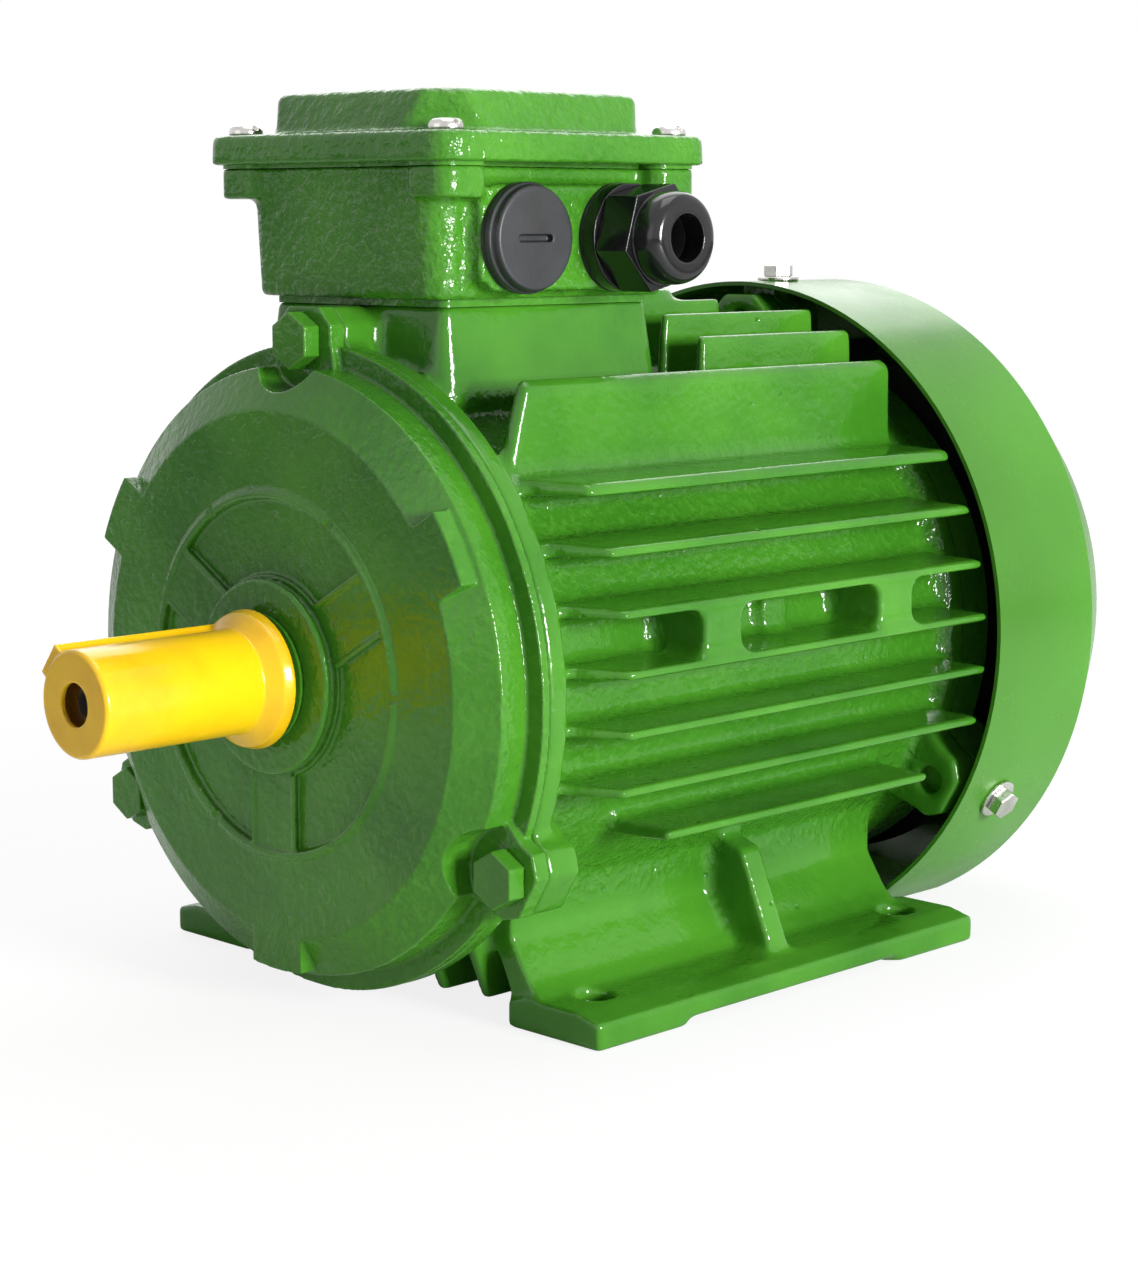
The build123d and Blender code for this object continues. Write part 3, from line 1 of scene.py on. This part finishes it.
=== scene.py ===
"""Looks of the three-phase induction motor: enamelled castings, plastic fittings and plated fasteners.

All lengths are in metres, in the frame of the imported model: +Z up, the shaft along Y with its drive
end towards -Y, the cable entries towards +X, and the floor at z = 0.
"""
import json
from math import cos, radians, sin

import bmesh
import bpy
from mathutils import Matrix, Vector

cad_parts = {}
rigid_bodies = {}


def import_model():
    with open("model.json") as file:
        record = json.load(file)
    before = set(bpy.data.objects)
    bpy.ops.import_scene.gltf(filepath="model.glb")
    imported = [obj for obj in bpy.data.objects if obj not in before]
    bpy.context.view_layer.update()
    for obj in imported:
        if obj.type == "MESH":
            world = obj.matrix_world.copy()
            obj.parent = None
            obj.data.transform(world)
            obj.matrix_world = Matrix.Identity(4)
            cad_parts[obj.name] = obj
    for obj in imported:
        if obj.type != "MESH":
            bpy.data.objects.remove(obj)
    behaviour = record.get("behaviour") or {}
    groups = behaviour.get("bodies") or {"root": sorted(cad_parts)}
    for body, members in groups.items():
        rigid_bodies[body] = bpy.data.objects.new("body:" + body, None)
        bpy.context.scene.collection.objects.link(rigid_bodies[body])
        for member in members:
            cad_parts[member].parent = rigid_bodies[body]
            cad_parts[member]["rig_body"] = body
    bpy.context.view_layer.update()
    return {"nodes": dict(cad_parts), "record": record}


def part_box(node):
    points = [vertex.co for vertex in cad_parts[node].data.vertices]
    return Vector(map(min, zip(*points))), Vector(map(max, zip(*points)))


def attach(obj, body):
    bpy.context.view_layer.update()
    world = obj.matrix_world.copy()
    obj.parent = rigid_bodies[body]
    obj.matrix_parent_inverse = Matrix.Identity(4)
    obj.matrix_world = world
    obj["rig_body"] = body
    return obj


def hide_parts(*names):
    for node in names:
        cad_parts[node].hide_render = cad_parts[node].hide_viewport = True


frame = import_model()
nodes = frame["nodes"]

MM = 0.001
SHAFT_HEIGHT = 0.090

# Cast lines on the face of the drive endshield; angles are in degrees from +X
FACE_Y = -111 * MM
BEAD_RADIUS = 47.2 * MM
BEAD_HALF_WIDTH = 1.2 * MM
BEAD_COUNT = 6
BEAD_GAP_ANGLE = 4
SPOKE_COUNT = 3
SPOKE_START_ANGLE = 30
SPOKE_HALF_WIDTH = 8.2 * MM
SPOKE_REACHES = (25.2 * MM, 35 * MM, 45.4 * MM)
SPOKE_LINE_HALF_WIDTH = 0.8 * MM
HUB_LIP_Y = -113.6 * MM
HUB_LIP_RADIUS = 24.8 * MM
HUB_LIP_HALF_WIDTH = 0.9 * MM

# Entry of the blanking plug in the terminal box, and the pad's side next to it
ENTRY_Y = -61.6 * MM
ENTRY_Z = 202.4 * MM
ENTRY_RADIUS = 12.55 * MM
ENTRY_CHEEK_ANGLE = 33
PAD_SIDE_Y = -75.6 * MM
PAD_HALF_HEIGHT = 11 * MM
PAD_INNER_X = 34.5 * MM
PAD_OUTER_X = 42.4 * MM

# Distance from the shaft beyond which the fins stand clear of the rough barrel; within it the barrel
# between the fins gets painted shade
FIN_ROOT = 79 * MM

# Camera of the photograph
CAMERA_PLACE = (0.55425, -0.55986, 0.2074)
CAMERA_TILT = radians(81.34)
CAMERA_TURN = radians(44.79)
CAMERA_LENS = 77.86

# Studio
LAMP_TARGET = (0, 0, 0.11)
WORLD_LEVEL = 0.20
FLOOR_SIZE = 12
FLOOR_GLOW = 1.06
NEAR_GLOW_SHARE = 0.80
NEAR_RADIUS = 0.25
FAR_RADIUS = 0.90

# Colours, linear
GREEN = (0.062, 0.245, 0.017, 1)
GREEN_DEEP = (0.034, 0.165, 0.010, 1)
# paler green painted on the grain's high spots as glints, a painted highlight
GREEN_PAINTED_GLINT = (0.105, 0.330, 0.034, 1)
SHEET_GREEN = (0.046, 0.172, 0.014, 1)
YELLOW = (0.900, 0.560, 0.006, 1)
YELLOW_DEEP = (0.800, 0.430, 0.004, 1)
PLUG_GREY = (0.024, 0.026, 0.029, 1)
GLAND_BLACK = (0.008, 0.008, 0.009, 1)
RUBBER = (0.012, 0.012, 0.012, 1)
ZINC = (0.72, 0.71, 0.68, 1)
ZINC_DULL = (0.52, 0.51, 0.48, 1)
STEEL = (0.48, 0.48, 0.49, 1)
STEEL_DARK = (0.16, 0.15, 0.15, 1)
LAMINATION = (0.20, 0.20, 0.21, 1)
ALUMINIUM = (0.66, 0.67, 0.69, 1)
COPPER_VARNISH = (0.42, 0.11, 0.025, 1)
COPPER_DARK = (0.20, 0.045, 0.012, 1)
BRASS = (0.70, 0.48, 0.16, 1)
BOARD = (0.030, 0.022, 0.016, 1)
FAN_BLACK = (0.014, 0.014, 0.015, 1)
WHITE = (1, 1, 1, 1)


# Node helpers
class Nodes:
    """A node material under construction, with short names for what the materials repeat."""

    def __init__(self, name):
        self.material = bpy.data.materials.new(name)
        self.material.use_nodes = True
        self.tree = self.material.node_tree
        self.shader = self.tree.nodes["Principled BSDF"]
        self.place = self.tree.nodes.new("ShaderNodeTexCoord").outputs["Object"]

    def link(self, source, target):
        self.tree.links.new(source, target)

    def noise(self, scale, detail=2.0, roughness=0.5, stretch=None):
        """Noise whose features are about 1 / scale metres apart."""
        noise = self.tree.nodes.new("ShaderNodeTexNoise")
        noise.inputs["Scale"].default_value = scale
        noise.inputs["Detail"].default_value = detail
        noise.inputs["Roughness"].default_value = roughness
        place = self.place
        if stretch:
            mapping = self.tree.nodes.new("ShaderNodeMapping")
            mapping.inputs["Scale"].default_value = stretch
            self.link(place, mapping.inputs["Vector"])
            place = mapping.outputs["Vector"]
        self.link(place, noise.inputs["Vector"])
        return noise.outputs["Fac"]

    def cells(self, scale):
        """Distance to the nearest of the points scattered about 1 / scale metres apart."""
        cells = self.tree.nodes.new("ShaderNodeTexVoronoi")
        cells.inputs["Scale"].default_value = scale
        self.link(self.place, cells.inputs["Vector"])
        return cells.outputs["Distance"]

    def ramp(self, value, low, high, start=0.0, end=1.0):
        """The value rescaled from low..high to start..end."""
        ramp = self.tree.nodes.new("ShaderNodeMapRange")
        ramp.inputs["From Min"].default_value = low
        ramp.inputs["From Max"].default_value = high
        ramp.inputs["To Min"].default_value = start
        ramp.inputs["To Max"].default_value = end
        self.link(value, ramp.inputs["Value"])
        return ramp.outputs["Result"]

    def times(self, first, second):
        """Product of two values."""
        product = self.tree.nodes.new("ShaderNodeMath")
        product.operation = "MULTIPLY"
        self.link(first, product.inputs[0])
        self.link(second, product.inputs[1])
        return product.outputs["Value"]

    def mix(self, share, first, second):
        """Colour between two others, each a socket or a constant."""
        mix = self.tree.nodes.new("ShaderNodeMix")
        mix.data_type = "RGBA"
        self.link(share, mix.inputs["Factor"])
        for socket, value in ((mix.inputs[6], first), (mix.inputs[7], second)):
            if isinstance(value, tuple):
                socket.default_value = value
            else:
                self.link(value, socket)
        return mix.outputs[2]

    def bump(self, height, depth, below=None):
        """Relief whose height runs over the depth in metres, on top of another relief if one is given."""
        bump = self.tree.nodes.new("ShaderNodeBump")
        bump.inputs["Distance"].default_value = depth
        bump.inputs["Strength"].default_value = 1.0
        self.link(height, bump.inputs["Height"])
        if below:
            self.link(below, bump.inputs["Normal"])
        return bump.outputs["Normal"]

    def shaft_distance(self):
        """Distance from the axis of the shaft in metres."""
        mapping = self.tree.nodes.new("ShaderNodeMapping")
        mapping.inputs["Location"].default_value = (0, 0, -SHAFT_HEIGHT)
        mapping.inputs["Scale"].default_value = (1, 0, 1)
        self.link(self.place, mapping.inputs["Vector"])
        length = self.tree.nodes.new("ShaderNodeVectorMath")
        length.operation = "LENGTH"
        self.link(mapping.outputs["Vector"], length.inputs[0])
        return length.outputs["Value"]

    def finish(self, colour, roughness, relief, **constants):
        """Sets up the shader and returns the material. Roughness is a socket or a number."""
        self.link(colour, self.shader.inputs["Base Color"])
        self.link(relief, self.shader.inputs["Normal"])
        if isinstance(roughness, float):
            self.shader.inputs["Roughness"].default_value = roughness
        else:
            self.link(roughness, self.shader.inputs["Roughness"])
        for name, value in constants.items():
            self.shader.inputs[name.replace("_", " ")].default_value = value
        return self.material


# Enamel on the castings, the sheet and the bolts
def cast_enamel(name, depth, pit_depth, fin_root=None):
    """Thick gloss enamel over sand cast iron: fine grain, soft lumps and a few pits.

    With a fin root, the grain fades beyond that distance from the shaft, and the colour is deeper
    within it, as painted shade on the barrel between the fins. The grain's high spots are painted
    paler as painted highlights, and the pits darker as painted shade.
    """
    n = Nodes(name)
    patches = n.noise(22, 3)
    grain = n.ramp(n.noise(430, 2, 0.5), 0.36, 0.66)
    peel = n.ramp(n.noise(240, 2), 0.30, 0.70)
    lumps = n.noise(85, 2)
    pits = n.ramp(n.cells(160), 0.0, 0.16, 1, 0)
    rare = n.ramp(n.noise(60, 1), 0.56, 0.66)
    coarse = n.ramp(n.noise(17, 2), 0.36, 0.60, 0.45, 1.0)
    colour = n.mix(n.ramp(patches, 0.35, 0.65), GREEN_DEEP, GREEN)
    if fin_root:
        distance = n.shaft_distance()
        coarse = n.times(coarse, n.ramp(distance, fin_root, fin_root + 4 * MM, 1.0, 0.20))
        # painted shade: the barrel between the fins, within the fin root, is darkened towards deep green
        colour = n.mix(n.ramp(distance, fin_root, fin_root + 6 * MM, 0.6, 0), colour, GREEN_DEEP)
    # painted highlight: the grain's high spots are painted paler, as glints
    colour = n.mix(n.times(n.ramp(grain, 0.5, 1.0, 0, 0.22), coarse), colour, GREEN_PAINTED_GLINT)
    # painted shade: the pits are painted darker, as shade in the hollows
    colour = n.mix(n.times(pits, rare), colour, GREEN_DEEP)
    roughness = n.ramp(n.noise(70, 4), 0.3, 0.7, 0.10, 0.20)
    relief = n.bump(lumps, depth * 2)
    relief = n.bump(n.times(peel, coarse), depth * 1.8, relief)
    relief = n.bump(n.times(grain, coarse), depth * 1.4, relief)
    relief = n.bump(n.times(pits, rare), -pit_depth, relief)
    return n.finish(colour, roughness, relief, Specular_IOR_Level=0.36)


def smooth_enamel(name, colour, depth):
    """Sprayed enamel on sheet or machined steel, with a faint orange peel."""
    n = Nodes(name)
    tint = n.mix(n.ramp(n.noise(9, 3), 0.35, 0.65), colour, GREEN)
    roughness = n.ramp(n.noise(40, 5), 0.3, 0.7, 0.20, 0.32)
    relief = n.bump(n.noise(520, 2), depth)
    return n.finish(tint, roughness, relief, Specular_IOR_Level=0.32)


# Metals
def metal(name, colour, dull, low, high, grain=900, stretch=None, depth=0.02 * MM):
    """Bare or plated metal with fine marks, duller in patches."""
    n = Nodes(name)
    marks = n.noise(grain, 4, 0.6, stretch)
    tint = n.mix(n.ramp(n.noise(120, 4), 0.35, 0.7), colour, dull)
    roughness = n.ramp(marks, 0.3, 0.7, low, high)
    return n.finish(tint, roughness, n.bump(marks, depth), Metallic=1.0)


def laminated(name):
    """Edges of stacked sheets: fine lines across the shaft."""
    n = Nodes(name)
    lines = n.noise(40, 2, 0.5, (0, 50, 0))
    tint = n.mix(n.ramp(lines, 0.4, 0.6), STEEL_DARK, LAMINATION)
    return n.finish(tint, n.ramp(lines, 0.3, 0.7, 0.35, 0.6), n.bump(lines, 0.1 * MM), Metallic=1.0)


def varnished_wire(name):
    """Copper wires that run round the coil ends under brown varnish."""
    n = Nodes(name)
    strands = n.noise(160, 3, 0.6, (1, 6, 1))
    tint = n.mix(n.ramp(strands, 0.35, 0.65), COPPER_DARK, COPPER_VARNISH)
    return n.finish(tint, 0.35, n.bump(strands, 0.6 * MM), Coat_Weight=0.6, Coat_Roughness=0.2)


# Plastics and rubber
def plastic(name, colour, shade, low, high, grain, depth, **constants):
    """Moulded plastic with a fine grain and faint handling marks."""
    n = Nodes(name)
    tint = n.mix(n.ramp(n.noise(60, 4), 0.4, 0.75), colour, shade)
    roughness = n.ramp(n.noise(90, 5, 0.65), 0.3, 0.7, low, high)
    return n.finish(tint, roughness, n.bump(n.noise(grain, 3), depth), **constants)


materials = {
    "enamelled_casting": cast_enamel("cast_enamel", 0.17 * MM, 0.5 * MM),
    "enamelled_bolt": cast_enamel("bolt_enamel", 0.07 * MM, 0.1 * MM),
    "enamelled_gasket": cast_enamel("gasket_enamel", 0.10 * MM, 0.1 * MM),
    "enamelled_sheet": smooth_enamel("sheet_enamel", SHEET_GREEN, 0.015 * MM),
    "zinc_plated_steel": metal("zinc_plate", ZINC, ZINC_DULL, 0.16, 0.32),
    "machined_steel": metal("machined_steel", ZINC_DULL, STEEL, 0.24, 0.38, 60, (1, 30, 1), 0.003 * MM),
    "bearing_steel": metal("bearing_steel", STEEL, STEEL, 0.06, 0.14),
    "cage_steel": metal("cage_steel", ZINC_DULL, STEEL, 0.25, 0.4),
    "spring_steel": metal("spring_steel", STEEL_DARK, STEEL, 0.3, 0.5),
    "laminations": laminated("laminations"),
    "cast_aluminium": metal("cast_aluminium", ALUMINIUM, ZINC_DULL, 0.35, 0.55, 500, None, 0.1 * MM),
    "winding": varnished_wire("winding"),
    "terminal_brass": metal("terminal_brass", BRASS, BRASS, 0.2, 0.35),
    "board_resin": plastic("board_resin", BOARD, RUBBER, 0.4, 0.6, 900, 0.05 * MM),
    "rubber_gasket": plastic("rubber_gasket", RUBBER, PLUG_GREY, 0.6, 0.8, 700, 0.05 * MM),
    "fan_plastic": plastic("fan_plastic", FAN_BLACK, PLUG_GREY, 0.4, 0.6, 800, 0.05 * MM),
    "plug_plastic": plastic("plug_plastic", PLUG_GREY, RUBBER, 0.38, 0.52, 1100, 0.04 * MM),
    "gland_plastic": plastic("gland_plastic", GLAND_BLACK, RUBBER, 0.08, 0.20, 500, 0.02 * MM),
    "cap_plastic": plastic(
        "cap_plastic", YELLOW, YELLOW_DEEP, 0.14, 0.26, 260, 0.02 * MM,
        Subsurface_Weight=0.12, Subsurface_Scale=2 * MM,
    ),
}

slot_of = {part["node"]: part["material_slot"] for part in frame["record"]["subparts"]}
material_of = {name: materials[slot] for name, slot in slot_of.items()}
material_of["frame_housing"] = cast_enamel("finned_enamel", 0.17 * MM, 0.5 * MM, FIN_ROOT)
material_of["drive_endshield"] = cast_enamel("face_enamel", 0.10 * MM, 0.3 * MM)
material_of["shaft_seal"] = cast_enamel("seal_enamel", 0.05 * MM, 0.05 * MM)
for name, node in nodes.items():
    node.data.materials.clear()
    node.data.materials.append(material_of[name])


# Pieces with softened edges, in place of the CAD's sharp ones
def apply_modifiers(piece):
    """Turns the piece's modifiers into its mesh."""
    evaluated = piece.evaluated_get(bpy.context.evaluated_depsgraph_get())
    piece.data = bpy.data.meshes.new_from_object(evaluated)
    piece.modifiers.clear()


def pad_cheek():
    """Closed mesh of the iron beside the blanking plug, between its hole and the side of the pad."""
    steps = 11
    inner_y = ENTRY_Y - ENTRY_RADIUS * cos(radians(ENTRY_CHEEK_ANGLE))
    profile = [(PAD_SIDE_Y, -PAD_HALF_HEIGHT), (PAD_SIDE_Y, PAD_HALF_HEIGHT), (inner_y, PAD_HALF_HEIGHT)]
    for step in range(steps + 1):
        angle = radians(ENTRY_CHEEK_ANGLE - step * 2 * ENTRY_CHEEK_ANGLE / steps)
        profile.append((ENTRY_Y - ENTRY_RADIUS * cos(angle), ENTRY_RADIUS * sin(angle)))
    profile.append((inner_y, -PAD_HALF_HEIGHT))
    count = len(profile)
    points = [(x, y, ENTRY_Z + z) for x in (PAD_INNER_X, PAD_OUTER_X) for y, z in profile]
    faces = [tuple(range(count)), tuple(range(2 * count - 1, count - 1, -1))]
    faces += [(i, count + i, count + (i + 1) % count, (i + 1) % count) for i in range(count)]
    return points, faces


def ridge(path, radius, closed=False):
    """Closed mesh of a round ridge that follows a path of points on a face across the shaft."""
    sides = 8
    count = len(path)
    points = []
    shaft_way = Vector((0, 1, 0))
    for i, place in enumerate(path):
        ahead = path[(i + 1) % count] if closed or i + 1 < count else place
        behind = path[i - 1] if closed or i else place
        run = (ahead - behind).normalized()
        aside = Vector((run.z, 0, -run.x))
        for k in range(sides):
            angle = radians(360 * k / sides)
            points.append(place + radius * (cos(angle) * aside + sin(angle) * shaft_way))
    faces = []
    for i in range(count if closed else count - 1):
        ring, after = i * sides, (i + 1) % count * sides
        for k in range(sides):
            beside = (k + 1) % sides
            faces.append((ring + k, ring + beside, after + beside, after + k))
    if not closed:
        faces += [tuple(range(sides)), tuple(range((count - 1) * sides, count * sides))]
    return points, faces


def face_point(radius, angle, y, aside=0.0):
    """Point on a face across the shaft, at an angle in degrees from +X, moved aside from that direction."""
    cosine, sine = cos(radians(angle)), sin(radians(angle))
    return Vector((radius * cosine - aside * sine, y, SHAFT_HEIGHT + radius * sine + aside * cosine))


def face_ridges():
    """Cast lines of the drive endshield's face: bead, pocket sides and hub lip."""
    ridges = []
    steps = 20
    bead_angle = 360 // BEAD_COUNT - BEAD_GAP_ANGLE
    for start in range(BEAD_GAP_ANGLE // 2, 360, 360 // BEAD_COUNT):
        angles = [start + step * bead_angle / steps for step in range(steps + 1)]
        ridges.append(ridge([face_point(BEAD_RADIUS, angle, FACE_Y) for angle in angles], BEAD_HALF_WIDTH))
    for spoke in range(SPOKE_START_ANGLE, 360, 360 // SPOKE_COUNT):
        for side in (-SPOKE_HALF_WIDTH, SPOKE_HALF_WIDTH):
            line = [face_point(reach, spoke, FACE_Y, side) for reach in SPOKE_REACHES]
            ridges.append(ridge(line, SPOKE_LINE_HALF_WIDTH))
    lip = [face_point(HUB_LIP_RADIUS, angle, HUB_LIP_Y) for angle in range(0, 360, 4)]
    ridges.append(ridge(lip, HUB_LIP_HALF_WIDTH, True))
    return ridges


def softened(node_name, voxel, rounds, fillet=0.0, keep=1.0, added=()):
    """Replaces a CAD node by a copy with evenly rounded edges, inside the node's box.

    A fillet also fills the inner corners, keep is the share of faces that stays, and added lists
    closed forms that are joined to the node's mesh first.
    """
    source = nodes[node_name]
    mesh = source.data.copy()
    for points, faces in added:
        shell = bmesh.new()
        shell.from_mesh(mesh)
        corners = [shell.verts.new(point) for point in points]
        extra = [shell.faces.new([corners[i] for i in face]) for face in faces]
        bmesh.ops.recalc_face_normals(shell, faces=extra)
        shell.to_mesh(mesh)
        shell.free()
    piece = bpy.data.objects.new(f"{node_name}_soft", mesh)
    bpy.context.scene.collection.objects.link(piece)

    def remesh():
        modifier = piece.modifiers.new("even", "REMESH")
        modifier.mode = "VOXEL"
        modifier.voxel_size = voxel

    def swell(distance):
        modifier = piece.modifiers.new("swell", "DISPLACE")
        modifier.mid_level = 0
        modifier.strength = distance

    remesh()
    if fillet:
        swell(fillet)
        remesh()
        swell(-fillet)
        remesh()
    smooth = piece.modifiers.new("round", "SMOOTH")
    smooth.factor = 0.5
    smooth.iterations = rounds
    if keep < 1:
        fewer = piece.modifiers.new("fewer", "DECIMATE")
        fewer.ratio = keep
    apply_modifiers(piece)
    low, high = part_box(node_name)
    for vertex in piece.data.vertices:
        vertex.co = [min(max(value, least), most) for value, least, most in zip(vertex.co, low, high)]
    piece.data.materials.clear()
    piece.data.materials.append(material_of[node_name])
    piece.data.shade_smooth()
    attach(piece, source["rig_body"])
    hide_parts(node_name)


softened("frame_housing", 0.8 * MM, 3, fillet=1.6 * MM, keep=0.5)
softened("drive_endshield", 0.4 * MM, 1, keep=0.5, added=face_ridges())
softened("terminal_box", 0.6 * MM, 2, fillet=1.2 * MM, keep=0.6, added=[pad_cheek()])
softened("terminal_box_lid", 0.6 * MM, 2, fillet=1.0 * MM, keep=0.6)
softened("drive_endshield_bolts", 0.3 * MM, 3)
softened("shaft_cap", 0.4 * MM, 2)
softened("lid_screws", 0.25 * MM, 3)
softened("fan_cover_screws", 0.25 * MM, 3)
softened("fan_cover_washers", 0.25 * MM, 2)
softened("blanking_plug", 0.3 * MM, 2)
softened("gland_body", 0.3 * MM, 2)
softened("gland_cap_nut", 0.25 * MM, 2)


# Studio: pale floor, soft lamps and a white surround
def studio_floor():
    """Pale floor that shows the object's soft shadow and turns white away from it."""
    bpy.ops.mesh.primitive_plane_add(size=FLOOR_SIZE)
    floor = bpy.context.object
    floor.name = "floor"
    material = bpy.data.materials.new("pale_floor")
    material.use_nodes = True
    tree = material.node_tree
    tree.nodes.remove(tree.nodes["Principled BSDF"])
    output = tree.nodes["Material Output"]
    path = tree.nodes.new("ShaderNodeLightPath")
    place = tree.nodes.new("ShaderNodeTexCoord")
    distance = tree.nodes.new("ShaderNodeVectorMath")
    distance.operation = "LENGTH"
    fade = tree.nodes.new("ShaderNodeMapRange")
    fade.inputs["From Min"].default_value = NEAR_RADIUS
    fade.inputs["From Max"].default_value = FAR_RADIUS
    fade.inputs["To Min"].default_value = NEAR_GLOW_SHARE
    fade.inputs["To Max"].default_value = 1.0
    share = tree.nodes.new("ShaderNodeMath")
    share.operation = "MULTIPLY"
    tree.links.new(place.outputs["Object"], distance.inputs[0])
    tree.links.new(distance.outputs["Value"], fade.inputs["Value"])
    tree.links.new(fade.outputs["Result"], share.inputs[1])
    diffuse = tree.nodes.new("ShaderNodeBsdfDiffuse")
    diffuse.inputs["Color"].default_value = (0.86, 0.86, 0.86, 1)
    glow = tree.nodes.new("ShaderNodeEmission")
    glow.inputs["Color"].default_value = WHITE
    glow.inputs["Strength"].default_value = FLOOR_GLOW
    mix = tree.nodes.new("ShaderNodeMixShader")
    tree.links.new(path.outputs["Is Camera Ray"], share.inputs[0])
    tree.links.new(share.outputs["Value"], mix.inputs["Fac"])
    tree.links.new(diffuse.outputs["BSDF"], mix.inputs[1])
    tree.links.new(glow.outputs["Emission"], mix.inputs[2])
    tree.links.new(mix.outputs["Shader"], output.inputs["Surface"])
    floor.data.materials.append(material)


def surround():
    """World that is white to the camera and in reflections, and a plain level of light elsewhere."""
    world = bpy.data.worlds.new("surround")
    bpy.context.scene.world = world
    world.use_nodes = True
    tree = world.node_tree
    background = tree.nodes["Background"]
    background.inputs["Color"].default_value = WHITE
    path = tree.nodes.new("ShaderNodeLightPath")
    seen = tree.nodes.new("ShaderNodeMath")
    seen.operation = "MAXIMUM"
    also = tree.nodes.new("ShaderNodeMath")
    also.operation = "MAXIMUM"
    level = tree.nodes.new("ShaderNodeMapRange")
    level.inputs["To Min"].default_value = WORLD_LEVEL
    level.inputs["To Max"].default_value = 1.0
    tree.links.new(path.outputs["Is Camera Ray"], seen.inputs[0])
    tree.links.new(path.outputs["Is Transmission Ray"], seen.inputs[1])
    tree.links.new(seen.outputs["Value"], also.inputs[0])
    tree.links.new(path.outputs["Is Glossy Ray"], also.inputs[1])
    tree.links.new(also.outputs["Value"], level.inputs["Value"])
    tree.links.new(level.outputs["Result"], background.inputs["Strength"])


def lamp(name, place, size, power):
    """Soft square lamp at a place, turned to the middle of the object."""
    light = bpy.data.lights.new(name, "AREA")
    light.shape = "SQUARE"
    light.size = size
    light.energy = power
    holder = bpy.data.objects.new(name, light)
    bpy.context.scene.collection.objects.link(holder)
    holder.location = place
    aim = bpy.data.objects.new(f"{name}_aim", None)
    aim.location = LAMP_TARGET
    bpy.context.scene.collection.objects.link(aim)
    track = holder.constraints.new("TRACK_TO")
    track.target = aim
    track.track_axis = "TRACK_NEGATIVE_Z"
    track.up_axis = "UP_Y"


def camera():
    """The photograph's camera."""
    data = bpy.data.cameras.new("camera")
    data.lens = CAMERA_LENS
    holder = bpy.data.objects.new("camera", data)
    holder.location = CAMERA_PLACE
    holder.rotation_euler = (CAMERA_TILT, 0, CAMERA_TURN)
    bpy.context.scene.collection.objects.link(holder)
    bpy.context.scene.camera = holder


studio_floor()
surround()
lamp("key_right", (1.40, 0.0, 0.36), 0.36, 28)
lamp("top", (0.1, 0.1, 1.5), 0.9, 6)
lamp("fill_front", (-0.3, -1.5, 0.5), 1.0, 2)
lamp("fill_back", (-1.0, 1.0, 1.25), 1.6, 16)
camera()
bpy.context.scene.view_settings.view_transform = "Standard"
